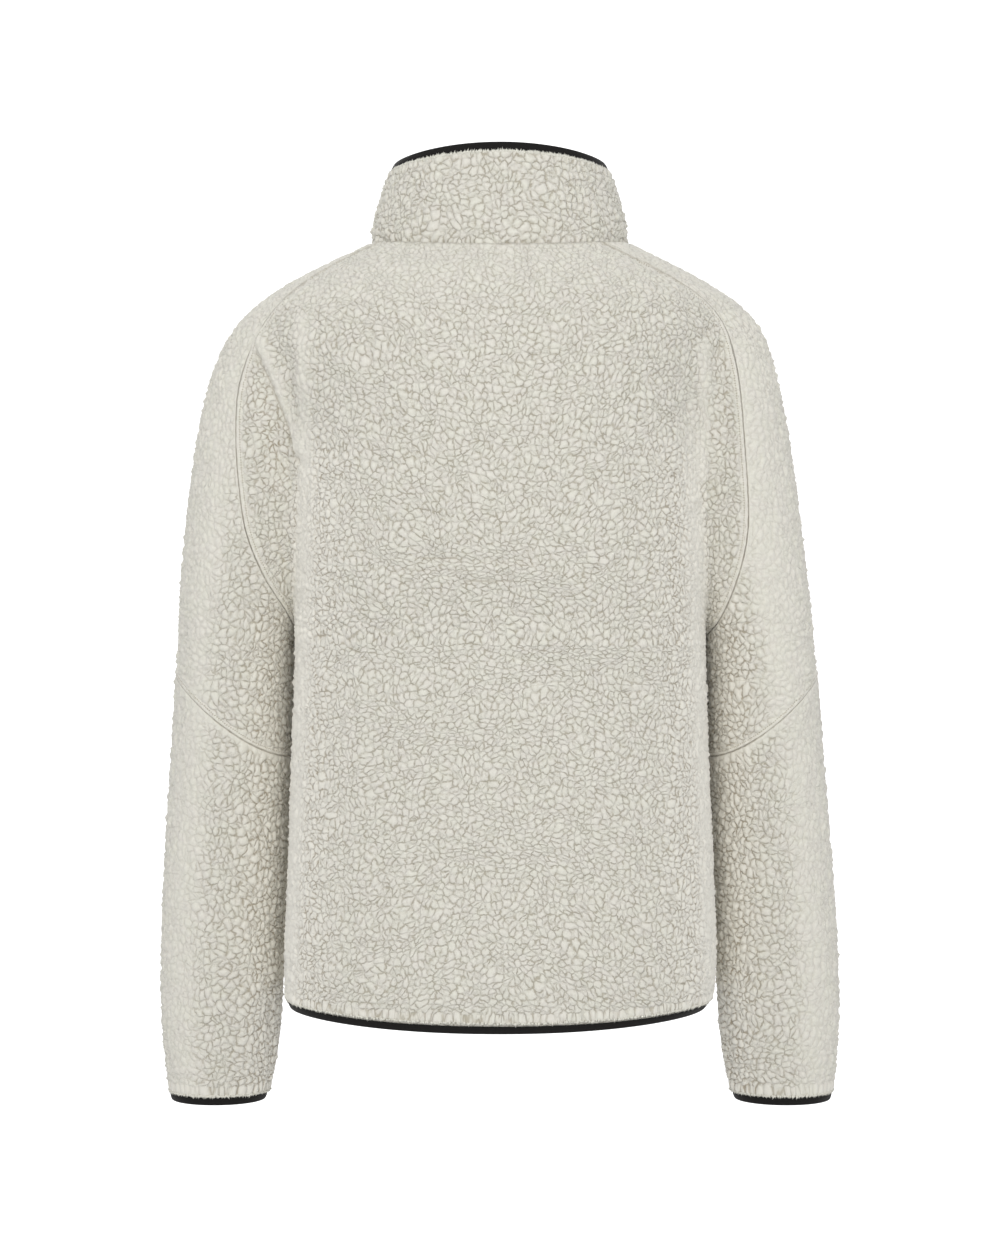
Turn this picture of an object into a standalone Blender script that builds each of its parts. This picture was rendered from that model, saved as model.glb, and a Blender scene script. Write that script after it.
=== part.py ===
"""Sherpa fleece jacket in its worn shape: sewn panels lofted through level rings, bound edges, a front zip.

Metres. Up is +Z, the front faces -Y and the wearer's left is +X. The origin is the middle of the neck,
level with the side of the neck seam.
"""

import math
from collections import namedtuple

import bmesh
import bpy
import numpy as np
from mathutils import Matrix, Vector

# Driving sizes.
WALL = 0.005  # fleece with its pile
SEAM_GAP = 0.0003  # between pieces that are sewn together
HEM_LEVEL = -0.606
UNDERARM_LEVEL = -0.316
CUFF_LEVEL = -0.690
BINDING_HEIGHT = 0.0074
BINDING_LEG = 0.0011  # one layer of the folded elastic
PINCHED_WALL = WALL - 2 * BINDING_LEG - 2 * SEAM_GAP  # fleece pressed flat inside a binding
FRONT_EDGE = 0.006  # half of the gap between the two fronts, where the zip shows
ZIP_STITCH = 0.018  # distance of the zip's stitching from the centre front

# One row for each ring round the body. side_z, back_z and front_z are its heights at the sides and the two
# centre lines, left and right its half widths, square its superellipse power, wide_y where it is widest.
BodyRing = namedtuple("BodyRing", "side_z back_z front_z left right back_y front_y square wide_y")
BODY = [
    BodyRing(HEM_LEVEL, -0.6166, -0.602, 0.1665, 0.1625, 0.116, -0.120, 2.7, 0.018),
    BodyRing(-0.595, -0.6040, -0.592, 0.1703, 0.1690, 0.120, -0.124, 2.7, 0.018),
    BodyRing(-0.575, -0.5790, -0.574, 0.1708, 0.1715, 0.122, -0.127, 2.7, 0.018),
    BodyRing(-0.500, -0.5000, -0.500, 0.1678, 0.1690, 0.122, -0.129, 2.7, 0.018),
    BodyRing(-0.407, -0.4070, -0.407, 0.1650, 0.1650, 0.124, -0.133, 2.7, 0.018),
    BodyRing(UNDERARM_LEVEL, -0.316, -0.316, 0.1620, 0.1625, 0.128, -0.138, 2.7, 0.018),
    BodyRing(-0.220, -0.2200, -0.220, 0.1610, 0.1605, 0.132, -0.140, 2.65, 0.016),
    BodyRing(-0.172, -0.1720, -0.176, 0.1605, 0.1590, 0.132, -0.140, 2.55, 0.014),
    BodyRing(-0.140, -0.1415, -0.153, 0.1680, 0.1590, 0.131, -0.138, 2.45, 0.012),
    BodyRing(-0.112, -0.1145, -0.135, 0.1810, 0.1640, 0.129, -0.135, 2.35, 0.010),
    BodyRing(-0.088, -0.0920, -0.119, 0.1930, 0.1730, 0.125, -0.130, 2.25, 0.008),
    BodyRing(-0.064, -0.0700, -0.103, 0.2000, 0.1850, 0.119, -0.123, 2.15, 0.006),
    BodyRing(-0.044, -0.0510, -0.088, 0.1880, 0.1810, 0.112, -0.114, 2.10, 0.005),
    BodyRing(-0.025, -0.0330, -0.072, 0.1550, 0.1540, 0.104, -0.103, 2.05, 0.004),
    BodyRing(-0.010, -0.0185, -0.060, 0.1270, 0.1225, 0.094, -0.091, 2.00, 0.003),
    BodyRing(0.000, -0.0090, -0.052, 0.1030, 0.1030, 0.086, -0.080, 2.00, 0.003),
]

# One row for each ring round an arm, an ellipse. Above the underarm it runs into the body.
SleeveRing = namedtuple("SleeveRing", "level inner left right half_depth centre_y")
SLEEVE = [
    SleeveRing(CUFF_LEVEL, 0.1900, 0.2685, 0.2700, 0.040, -0.0450),
    SleeveRing(-0.675, 0.1855, 0.2715, 0.2735, 0.042, -0.0440),
    SleeveRing(-0.650, 0.1798, 0.2750, 0.2762, 0.045, -0.0425),
    SleeveRing(-0.609, 0.1765, 0.2770, 0.2772, 0.049, -0.0400),
    SleeveRing(-0.568, 0.1745, 0.2763, 0.2755, 0.052, -0.0370),
    SleeveRing(-0.511, 0.1722, 0.2743, 0.2713, 0.0555, -0.034),
    SleeveRing(-0.446, 0.1692, 0.2698, 0.2660, 0.059, -0.0300),
    SleeveRing(-0.389, 0.1668, 0.2652, 0.2606, 0.062, -0.0250),
    SleeveRing(-0.350, 0.1655, 0.2630, 0.2577, 0.0635, -0.021),
    SleeveRing(UNDERARM_LEVEL, 0.1632, 0.2598, 0.2530, 0.065, -0.018),
    SleeveRing(-0.276, 0.1480, 0.2578, 0.2485, 0.066, -0.0160),
    SleeveRing(-0.220, 0.1350, 0.2522, 0.2415, 0.067, -0.0140),
    SleeveRing(-0.172, 0.1300, 0.2462, 0.2348, 0.068, -0.0110),
    SleeveRing(-0.140, 0.1280, 0.2402, 0.2293, 0.068, -0.0080),
    SleeveRing(-0.112, 0.1250, 0.2335, 0.2233, 0.067, -0.0050),
    SleeveRing(-0.088, 0.1180, 0.2245, 0.2170, 0.064, -0.0020),
    SleeveRing(-0.064, 0.1060, 0.2110, 0.2075, 0.057, 0.0000),
    SleeveRing(-0.044, 0.0920, 0.1900, 0.1890, 0.046, 0.0000),
    SleeveRing(-0.025, 0.0780, 0.1530, 0.1520, 0.034, 0.0000),
    SleeveRing(-0.010, 0.0650, 0.1250, 0.1210, 0.022, 0.0000),
    SleeveRing(0.000, 0.0550, 0.1010, 0.1010, 0.016, 0.0000),
]

# The raglan seam: its distance from the centre at each height, on either side.
SeamPoint = namedtuple("SeamPoint", "level left right")
RAGLAN = [
    SeamPoint(-0.3151, 0.1620, 0.1640),
    SeamPoint(-0.3001, 0.1640, 0.1742),
    SeamPoint(-0.2843, 0.1750, 0.1805),
    SeamPoint(-0.2655, 0.1862, 0.1878),
    SeamPoint(-0.2421, 0.1958, 0.1935),
    SeamPoint(-0.2218, 0.2021, 0.1958),
    SeamPoint(-0.1983, 0.2044, 0.1942),
    SeamPoint(-0.1669, 0.2072, 0.1919),
    SeamPoint(-0.1278, 0.2068, 0.1888),
    SeamPoint(-0.0886, 0.1958, 0.1825),
    SeamPoint(-0.0626, 0.1820, 0.1735),
    SeamPoint(-0.0447, 0.1650, 0.1552),
    SeamPoint(-0.0243, 0.1410, 0.1190),
    SeamPoint(-0.0117, 0.1140, 0.0900),
    SeamPoint(-0.0040, 0.0985, 0.0780),
]
WIDEST_SEAM = 0.955  # the seam stays this far inside the outline, as a share of its half width

# The collar stands on the neck seam and leans in. Heights and reach are those of its bound top edge.
COLLAR_TOP = {"side_z": 0.0635, "back_z": 0.0705, "front_z": 0.029, "half": 0.0850}
COLLAR_TOP |= {"back_y": 0.080, "front_y": -0.074}
COLLAR_BULGE = 1.7  # power of the lean: it leans little above the seam and more near the top

# The seam across the elbow, from its low inner end to its high outer end.
ELBOW_INNER_Z = -0.410
ELBOW_OUTER_Z = -0.343
ELBOW_CURVE = 1.5

# The zip, closed to the top. The slider is modelled about its middle: y into the jacket, z up the zip.
TAPE = 0.0008
TAPE_EDGE = 0.0030  # half of the gap between the two tapes, filled by the teeth
TEETH_HALF = 0.0027
TEETH_THICK = 0.0019
TEETH_END = 0.002  # the teeth end this far above the slider's middle
SLIDER_DROP = 0.0170  # from the top of the collar down to the slider's middle
SLIDER_HALF = (0.0044, 0.0006, 0.0065)  # half sizes of each of its two plates
PLATE_Y = 0.0019  # from the middle of the teeth to the middle of a plate
POST_HALF = 0.0013  # the post that joins the plates, between these heights
POST_Z = (0.0032, 0.0056)
PIN_Y = -0.0047  # the pin that the pull swings on
PIN_Z = 0.0025
PIN_RADIUS = 0.0007
PIN_HALF = 0.0024
EAR_X = 0.00235  # two ears hold the pin; half their thickness, and how far they reach round it
EAR_HALF = 0.00045
EAR_ROUND = 0.0011
EAR_RISE = 0.0016
EYE_RADIUS = 0.0016  # the pull: an eye on the pin, a neck and a tab with a round end
EYE_HOLE = 0.00095
EYE_HALF = 0.0015
NECK_HALF = 0.0006
NECK_TOP = -0.0012
TAB_TOP = -0.0065
TAB_HALF = (0.0032, 0.0007)
PULL_LENGTH = 0.026

# How many cells the panels have.
CELLS_MIDDLE = 9  # centre line to the valley beside the armpit
CELLS_VALLEY = 3  # valley to raglan seam or side seam
CELLS_ARM = 8  # raglan seam to the top of the arm
EDGE_RISE = [0.0015, BINDING_HEIGHT + 0.0003, BINDING_HEIGHT + 0.0025]  # wall end, binding's lip, full wall
BODY_LEVELS = [HEM_LEVEL + rise for rise in EDGE_RISE] + list(np.linspace(-0.573, UNDERARM_LEVEL, 10))
YOKE_LEVELS = [-0.305, -0.291, -0.273, -0.252, -0.229, -0.205, -0.181, -0.158, -0.136, -0.115, -0.095]
YOKE_LEVELS += [-0.075, -0.056, -0.038, -0.020, 0.0]
UPPER_ARM_SHARES = [0.2, 0.4, 0.6, 0.8, 1.0]  # rows between the underarm and the elbow seam
LOWER_ARM_ROWS = 9
COLLAR_SHARES = [0.0, 0.2, 0.45, 0.7]  # rows between the neck seam and the binding

FILLET = 0.0045  # how softly body and arm run together
SEAM_ROOM = 0.002  # least distance from a valley to the seam, below the shoulder
BELOW_SHOULDER = -0.1
VALLEY_ROOM = 0.010  # least distance from the valley's column to the seam down to the underarm
MORE_ROOM = 0.022  # and how much it grows below there, over this height
ROOM_HEIGHT = 0.12
EVEN_FROM = -0.14  # the columns begin to spread evenly here, and do so fully this much higher
EVEN_HEIGHT = 0.07
GRADING = 0.35  # how much closer together the columns get towards a valley
NEAR_FRONT = 0.04  # stretch beside the centre front in which the zip's stitching lies
UNDERARM_SHARE = 0.7  # of a seam gap, by which arm and body part where four seams meet
CREAM = (0.64, 0.61, 0.53)
BLACK = (0.018, 0.017, 0.016)
METAL = (0.10, 0.10, 0.105)

Outline = namedtuple("Outline", "points along valleys outer")


def smooth(x, xs, ys):
    """The value at x of a monotone cubic through the points (xs, ys)."""
    xs, ys = np.asarray(xs, float), np.asarray(ys, float)
    steps = np.diff(xs)
    slopes = np.diff(ys) / steps
    product = slopes[:-1] * slopes[1:]
    total = slopes[:-1] + slopes[1:]
    inner = np.where(product > 0, 2 * product / np.where(total == 0, 1, total), 0)
    tangents = np.concatenate([slopes[:1], inner, slopes[-1:]])
    i = np.clip(np.searchsorted(xs, x) - 1, 0, len(steps) - 1)
    t = (x - xs[i]) / steps[i]
    start = (2 * t**3 - 3 * t**2 + 1) * ys[i] + (t**3 - 2 * t**2 + t) * steps[i] * tangents[i]
    return start + (3 * t**2 - 2 * t**3) * ys[i + 1] + (t**3 - t**2) * steps[i] * tangents[i + 1]


def ring_at(table, level):
    """The table's row at a level between those that it lists."""
    levels = [row[0] for row in table]
    return type(table[0])(*(smooth(level, levels, [row[i] for row in table]) for i in range(len(table[0]))))


def side_name(side):
    return "left" if side > 0 else "right"


def body_outline(ring, half_width):
    """Half of the body's ring, from centre back round the side to centre front."""
    turn = np.linspace(0, math.pi, 400)
    reach = np.where(turn < math.pi / 2, ring.back_y - ring.wide_y, ring.wide_y - ring.front_y)
    power = 2 / ring.square
    x = half_width * np.abs(np.sin(turn)) ** power
    y = ring.wide_y + reach * np.sign(np.cos(turn)) * np.abs(np.cos(turn)) ** power
    return np.stack([x, y], axis=1)


def sleeve_outline(ring, outer, shares):
    """Points of an arm's ring at shares of the turn from its inner point, back first."""
    angle = math.pi - 2 * math.pi * np.asarray(shares)
    x = (ring.inner + outer) / 2 + (outer - ring.inner) / 2 * np.cos(angle)
    return np.stack([x, ring.centre_y + ring.half_depth * np.sin(angle)], axis=-1)


def lengths(points):
    return np.concatenate([[0], np.cumsum(np.linalg.norm(np.diff(points, axis=0), axis=1))])


def read_along(points, along, at):
    return np.stack([np.interp(at, along, points[:, i]) for i in range(points.shape[1])], axis=-1)


def softened(points):
    """An outline with its corners rounded, mirrored past the centre lines so that it crosses them square."""
    along = lengths(points)
    step = 0.0005
    even = read_along(points, along, np.arange(0, along[-1], step))
    even = np.vstack([even, points[-1:]])
    margin = int(4 * FILLET / step)
    flip = np.array([-1, 1])
    longer = np.vstack([even[margin:0:-1] * flip, even, even[-2 : -margin - 2 : -1] * flip])
    weights = np.exp(-0.5 * (np.arange(-margin, margin + 1) * step / FILLET) ** 2)
    weights /= weights.sum()
    return np.stack([np.convolve(longer[:, i], weights, "valid") for i in range(2)], axis=1)


def with_heights(points, ring):
    """The ring's points with their heights: level at the sides, dipping towards the two centre lines."""
    share = 1 - (points[:, 0] / points[:, 0].max()) ** 2
    top = int(np.argmax(points[:, 0]))
    dip = np.where(np.arange(len(points)) < top, ring.back_z - ring.side_z, ring.front_z - ring.side_z)
    return np.column_stack([points, ring.side_z + dip * share])


def torso_outline(level, side):
    """One side's outline at a level. Above the underarm it takes in the arm, and valleys lie between them."""
    ring = ring_at(BODY, level)
    half_width = getattr(ring, side_name(side))
    body = body_outline(ring, half_width)
    if level <= UNDERARM_LEVEL:
        points = with_heights(softened(body), ring)
        along = lengths(points)
        side_y = ring_at(SLEEVE, UNDERARM_LEVEL).centre_y
        at = along[np.argmax(points[:, 1] < side_y)]
        return Outline(points, along, (at, at), at)
    sleeve = ring_at(SLEEVE, level)
    outer = getattr(sleeve, side_name(side))
    middle, half = (sleeve.inner + outer) / 2, (outer - sleeve.inner) / 2
    arm = sleeve_outline(sleeve, outer, np.linspace(0, 1, 600))
    reach = np.where(arm[:, 1] > ring.wide_y, ring.back_y - ring.wide_y, ring.wide_y - ring.front_y)
    depth = np.abs(arm[:, 1] - ring.wide_y) / reach
    arm_shows = np.abs(arm[:, 0] / half_width) ** ring.square + depth**ring.square > 1
    off_centre = (body - (middle, sleeve.centre_y)) / (half, sleeve.half_depth)
    covered = (off_centre**2).sum(axis=1) < 1
    if covered.any():
        first, last = np.flatnonzero(covered)[[0, -1]]
        body_back, body_front = body[:first], body[last + 1 :]
        joined = np.vstack([body_back, arm[arm_shows], body_front])
        before, after = lengths(joined)[[first, first + arm_shows.sum()]]
    else:
        joined = body
        before = after = lengths(joined)[len(joined) // 2]
    points = with_heights(softened(joined), ring)
    along = lengths(points)
    return Outline(points, along, (before, after), along[np.argmax(points[:, 0])])


def seam_places(outline, level, side):
    """Where the back and front raglan seams cross an outline, as lengths along it."""
    if level <= UNDERARM_LEVEL:
        return outline.outer, outline.outer
    x, z = outline.points[:, 0], outline.points[:, 2]
    columns = {name: [getattr(row, name) for row in RAGLAN] for name in ("level", side_name(side))}
    wanted = np.array([smooth(height, columns["level"], columns[side_name(side)]) for height in z])
    inside = x <= np.minimum(wanted, WIDEST_SEAM * x.max())
    top = int(np.argmax(x))
    back = outline.along[np.flatnonzero(inside[:top])[-1]]
    front = outline.along[top + np.flatnonzero(inside[top:])[0]]
    if level < BELOW_SHOULDER:
        back = max(back, outline.valleys[0] + SEAM_ROOM)
        front = min(front, outline.valleys[1] - SEAM_ROOM)
    return back, front


def graded(count):
    """Shares of a stretch that get closer together towards its end."""
    share = np.linspace(0, 1, count + 1)
    return share * (1 + GRADING * (1 - share))


def panel_places(start, valley, seam, level):
    """Places of a panel's columns from its centre line to its seam. High up they spread evenly."""
    room = VALLEY_ROOM + MORE_ROOM * np.clip((UNDERARM_LEVEL - level) / ROOM_HEIGHT, 0, 1)
    valley = min(valley, seam - room)
    even = start + (seam - start) * CELLS_MIDDLE / (CELLS_MIDDLE + CELLS_VALLEY)
    valley += (even - valley) * np.clip((level - EVEN_FROM) / EVEN_HEIGHT, 0, 1)
    near = start + (valley - start) * graded(CELLS_MIDDLE)
    return np.concatenate([near, np.linspace(valley, seam, CELLS_VALLEY + 1)[1:]])


def torso_rows(levels, side):
    """One side's rows of the back, the arm and the front, each running from back to front."""
    backs, arms, fronts = [], [], []
    for level in levels:
        outline = torso_outline(level, side)
        points, along = outline.points, outline.along
        back_seam, front_seam = seam_places(outline, level, side)
        backs.append(read_along(points, along, panel_places(0, outline.valleys[0], back_seam, level)))
        from_front = along[-1] - along[::-1]
        near = from_front < NEAR_FRONT
        edge, stitch = np.interp([FRONT_EDGE, ZIP_STITCH], points[::-1, 0][near], from_front[near])
        seam, valley = along[-1] - front_seam, along[-1] - outline.valleys[1]
        places = np.append(edge, panel_places(stitch, valley, seam, level))
        fronts.append(read_along(points, along, along[-1] - places[::-1]))
        if level == UNDERARM_LEVEL:
            backs[-1][-1] = fronts[-1][0] = underarm_point(side, -SEAM_GAP)
        if level > UNDERARM_LEVEL:
            shoulder = np.linspace(back_seam, outline.outer, CELLS_ARM + 1)
            chest = np.linspace(outline.outer, front_seam, CELLS_ARM + 1)[1:]
            arms.append(read_along(points, along, np.append(shoulder, chest)))
    return np.array(backs), np.array(arms), np.array(fronts)


def underarm_point(side, out):
    """Where side seam, underarm seam and raglan seams meet, moved out by less than a seam's gap."""
    outline = torso_outline(UNDERARM_LEVEL, side)
    x, y, z = read_along(outline.points, outline.along, outline.outer)
    return np.array([(x + ring_at(SLEEVE, UNDERARM_LEVEL).inner) / 2 + out * UNDERARM_SHARE, y, z])


ARM_SHARES = np.linspace(0, 1, 2 * CELLS_ARM + 1)


def elbow_heights():
    outward = (1 - np.cos(2 * math.pi * ARM_SHARES)) / 2
    return ELBOW_INNER_Z + (ELBOW_OUTER_Z - ELBOW_INNER_Z) * outward**ELBOW_CURVE


def arm_row(heights, side):
    """One row of an arm's points, each at its own height, starting and ending at the underarm seam."""
    row = []
    for share, height in zip(ARM_SHARES, heights):
        ring = ring_at(SLEEVE, height)
        x, y = sleeve_outline(ring, getattr(ring, side_name(side)), share)
        row.append((x, y, height))
    return np.array(row)


def lower_arm_rows(side):
    elbow = elbow_heights()
    level = np.ones_like(elbow)
    rows = [arm_row(level * (CUFF_LEVEL + rise), side) for rise in EDGE_RISE]
    start = CUFF_LEVEL + EDGE_RISE[-1]
    for share in np.linspace(0, 1, LOWER_ARM_ROWS + 1)[1:]:
        rows.append(arm_row(start + (elbow - start) * share, side))
    return np.array(rows)


def upper_arm_rows(side):
    """Rows from the elbow seam up to the level of the underarm."""
    rise = elbow_heights() - UNDERARM_LEVEL
    rows = [arm_row(UNDERARM_LEVEL + rise * share, side) for share in UPPER_ARM_SHARES[::-1]]
    rows.append(arm_row(np.full_like(rise, UNDERARM_LEVEL), side))
    rows[-1][[0, -1]] = underarm_point(side, SEAM_GAP)
    return np.array(rows)


def mirrored(rows):
    """A side's rows on the wearer's right, in the same order round the body as those on the left."""
    return rows[:, ::-1] * np.array([-1, 1, 1])


def collar_rows(neck):
    """Rows from the neck seam up to the bound edge, and the edge itself."""
    x, y, z = neck.T
    top = COLLAR_TOP
    half, back_y, front_y = BODY[-1].left, BODY[-1].back_y, BODY[-1].front_y
    inset = (top["half"] - FRONT_EDGE) / (half - FRONT_EDGE)
    front_x = np.sign(x) * (FRONT_EDGE + (np.abs(x) - FRONT_EDGE) * inset)
    is_back = y > BODY[-1].wide_y
    top_x = np.where(is_back, x * top["half"] / half, front_x)
    top_y = np.where(is_back, y * top["back_y"] / back_y, y * top["front_y"] / front_y)
    dip = np.where(is_back, top["back_z"] - top["side_z"], top["front_z"] - top["side_z"])
    top_z = top["side_z"] + dip * (1 - (x / half) ** 2)
    height = top_z - z
    shares = [np.full_like(z, share) for share in COLLAR_SHARES]
    shares += [1 - rise / height for rise in EDGE_RISE[::-1]] + [np.ones_like(z)]
    rows = []
    for share in shares:
        lean = share**COLLAR_BULGE
        rows.append(np.stack([x + (top_x - x) * lean, y + (top_y - y) * lean, z + height * share], axis=1))
    return np.array(rows[:-1]), rows[-1]


def unit(vectors):
    return vectors / np.maximum(np.linalg.norm(vectors, axis=-1, keepdims=True), 1e-12)


def shared_normals(panels):
    """Outward normals of every panel's points, the same on both sides of a seam."""
    sums = {}

    def key(point):
        return tuple(np.round(point, 6))

    for grid in panels.values():
        a, b, c, d = grid[:-1, :-1], grid[1:, :-1], grid[1:, 1:], grid[:-1, 1:]
        faces = np.cross(b + c - a - d, c + d - a - b)
        for corner in (a, b, c, d):
            for point, face in zip(corner.reshape(-1, 3), faces.reshape(-1, 3)):
                sums[key(point)] = sums.get(key(point), 0) + face
    return {
        name: unit(np.array([[sums[key(point)] for point in row] for row in grid]))
        for name, grid in panels.items()
    }


EDGES = {
    "bottom": (np.s_[0], np.s_[1]),
    "top": (np.s_[-1], np.s_[-2]),
    "first": (np.s_[:, 0], np.s_[:, 1]),
    "last": (np.s_[:, -1], np.s_[:, -2]),
}


def drawn_in(points, normals, sides):
    """A panel's points, moved in from the seams on these sides by half of the gap."""
    moved = points.copy()
    for side in sides:
        edge, beside = EDGES[side]
        tangent = unit(np.gradient(points[edge], axis=0))
        inward = points[beside] - points[edge]
        for direction in (tangent, normals[edge]):
            inward -= (inward * direction).sum(axis=1, keepdims=True) * direction
        moved[edge] += unit(inward) * SEAM_GAP / 2
    return moved


def material(name, colour, roughness, metallic=0.0):
    made = bpy.data.materials.new(name)
    made.use_nodes = True
    made.diffuse_color = (*colour, 1)
    shader = made.node_tree.nodes["Principled BSDF"]
    shader.inputs["Base Color"].default_value = (*colour, 1)
    shader.inputs["Roughness"].default_value = roughness
    shader.inputs["Metallic"].default_value = metallic
    return made


def add_object(name, mesh, look):
    data = bpy.data.meshes.new(name)
    bmesh.ops.recalc_face_normals(mesh, faces=mesh.faces)
    mesh.to_mesh(data)
    mesh.free()
    data.materials.append(material(name, *look))
    made = bpy.data.objects.new(name, data)
    JACKET.objects.link(made)
    return made


def add_wall(name, outer, inner, look):
    """A closed wall between two grids of points."""
    mesh = bmesh.new()
    skins = [[[mesh.verts.new(point) for point in row] for row in grid] for grid in (outer, inner)]
    rows, columns = outer.shape[:2]
    for skin in skins:
        for r in range(rows - 1):
            for c in range(columns - 1):
                mesh.faces.new((skin[r][c], skin[r + 1][c], skin[r + 1][c + 1], skin[r][c + 1]))
    # Both sides of a seam split their edges the same way, so that they stay apart.
    rims = [((r, c), (r + 1, c)) for r in range(rows - 1) for c in (0, columns - 1)]
    rims += [((r, c), (r, c + 1)) for r in (0, rows - 1) for c in range(columns - 1)]
    for (r, c), (next_r, next_c) in rims:
        low, high = skins[0][r][c], skins[0][next_r][next_c]
        low_inner, high_inner = skins[1][r][c], skins[1][next_r][next_c]
        mesh.faces.new((low, high, low_inner))
        mesh.faces.new((high, high_inner, low_inner))
    return add_object(name, mesh, look)


def add_loft(name, rings, look, closed):
    """A solid through rings of points, running round to its start or capped at both ends."""
    mesh = bmesh.new()
    loops = [[mesh.verts.new(point) for point in ring] for ring in rings]
    following = loops[1:] + loops[:1] if closed else loops[1:]
    for loop, after in zip(loops, following):
        for i, corner in enumerate(loop):
            beyond = (i + 1) % len(loop)
            mesh.faces.new((corner, loop[beyond], after[beyond], after[i]))
    if not closed:
        mesh.faces.new(loops[0])
        mesh.faces.new(loops[-1])
    return add_object(name, mesh, look)


def add_panel(name, grid, normals, sewn, pinched):
    """One cut piece of fleece. Its pinched rows are pressed flat inside a binding."""
    points = drawn_in(grid, normals, sewn)
    inset = np.zeros((len(grid), 1, 1))
    inset[pinched] = (WALL - PINCHED_WALL) / 2
    return add_wall(name, points - normals * inset, points - normals * (WALL - inset), (CREAM, 0.95))


def add_binding(name, edge, normals, into, closed):
    """Elastic folded over an edge of the cloth: its legs run from the edge into the panel."""
    leg, height, corner, floor = BINDING_LEG, BINDING_HEIGHT, 0.0010, 0.0012
    fold = [(0, height), (0, corner), (corner, 0), (WALL - corner, 0), (WALL, corner), (WALL, height)]
    fold += [(WALL - leg, height), (WALL - leg, floor), (leg, floor), (leg, height)]
    rings = [[p - n * depth + i * rise for depth, rise in fold] for p, n, i in zip(edge, normals, into)]
    return add_loft(name, rings, (BLACK, 0.8), closed)


def add_zip(front, collar, front_normals, collar_normals):
    """Both tapes and the teeth, all behind the fronts' edges, and the line that the teeth follow."""
    for side, columns in (("left", [-1, -2]), ("right", [0, 1])):
        pairs = np.vstack([front[side][:, columns], collar[1:, columns]])
        facing = np.vstack([front_normals[side][:, columns], collar_normals[1:, columns]])[:, [0, 0, 1]]
        edge = pairs[:, 0]
        face = np.stack([edge, edge, pairs[:, 1]], axis=1) - facing * (WALL + SEAM_GAP)
        back = face - facing * TAPE
        face[:, 0, 0] = back[:, 0, 0] = TAPE_EDGE * np.sign(edge[:, 0])
        add_wall(f"zip_tape_{side}", face, back, (BLACK, 0.85))
    line = edge * np.array([0, 1, 1])
    out = unit(facing[:, 0] * np.array([0, 1, 1]))
    return line - out * (WALL + SEAM_GAP + TAPE / 2), out


def add_teeth(line, out):
    half, deep = TEETH_HALF, TEETH_THICK / 2
    across = np.array([1, 0, 0])
    corners = ((-half, deep), (half, deep), (half, -deep), (-half, -deep))
    rings = [[p + across * x + n * y for x, y in corners] for p, n in zip(line, out)]
    return add_loft("zip_teeth", rings, (BLACK, 0.5), closed=False)


def box(low, high):
    made = bmesh.new()
    bmesh.ops.create_cube(made, size=1)
    low, high = Vector(low), Vector(high)
    place = Matrix.Translation((low + high) / 2) @ Matrix.Diagonal((*(high - low), 1))
    bmesh.ops.transform(made, matrix=place, verts=made.verts)
    return made


def cylinder(radius, half_length, centre, axis, segments=20):
    made = bmesh.new()
    turn = Matrix.Rotation(math.pi / 2, 4, axis)
    place = Matrix.Translation(centre) @ turn
    round_size = {"radius1": radius, "radius2": radius, "depth": 2 * half_length}
    bmesh.ops.create_cone(made, cap_ends=True, segments=segments, matrix=place, **round_size)
    return made


def add_joined(name, pieces, cuts, place, look):
    """One solid from shapes that overlap, less others, moved to its place."""
    helpers = []
    for i, shape in enumerate(pieces + cuts):
        data = bpy.data.meshes.new(f"{name}_shape")
        shape.to_mesh(data)
        shape.free()
        helpers.append(bpy.data.objects.new(f"{name}_shape_{i}", data))
        JACKET.objects.link(helpers[-1])
    first = helpers[0]
    for i, helper in enumerate(helpers[1:], 1):
        boolean = first.modifiers.new("joined", "BOOLEAN")
        boolean.operation = "UNION" if i < len(pieces) else "DIFFERENCE"
        boolean.solver = "EXACT"
        boolean.object = helper
    bpy.context.view_layer.update()
    shape = first.evaluated_get(bpy.context.evaluated_depsgraph_get()).to_mesh()
    mesh = bmesh.new()
    mesh.from_mesh(shape)
    for helper in helpers:
        bpy.data.objects.remove(helper)
    bmesh.ops.transform(mesh, matrix=place, verts=mesh.verts)
    return add_object(name, mesh, look)


def add_slider(place):
    half_x, half_y, half_z = SLIDER_HALF
    plates = [
        box((-half_x, y - half_y, -half_z), (half_x, y + half_y, half_z)) for y in (-PLATE_Y, PLATE_Y)
    ]
    post = box((-POST_HALF, -PLATE_Y, POST_Z[0]), (POST_HALF, PLATE_Y, POST_Z[1]))
    ear_low, ear_high = (PIN_Y - EAR_ROUND, PIN_Z - EAR_RISE), (-PLATE_Y, PIN_Z + EAR_RISE)
    ears = [box((x - EAR_HALF, *ear_low), (x + EAR_HALF, *ear_high)) for x in (-EAR_X, EAR_X)]
    pin = cylinder(PIN_RADIUS, PIN_HALF, (0, PIN_Y, PIN_Z), "Y", segments=16)
    return add_joined("zip_slider", [*plates, post, *ears, pin], [], place, (METAL, 0.35, 0.9))


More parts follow.
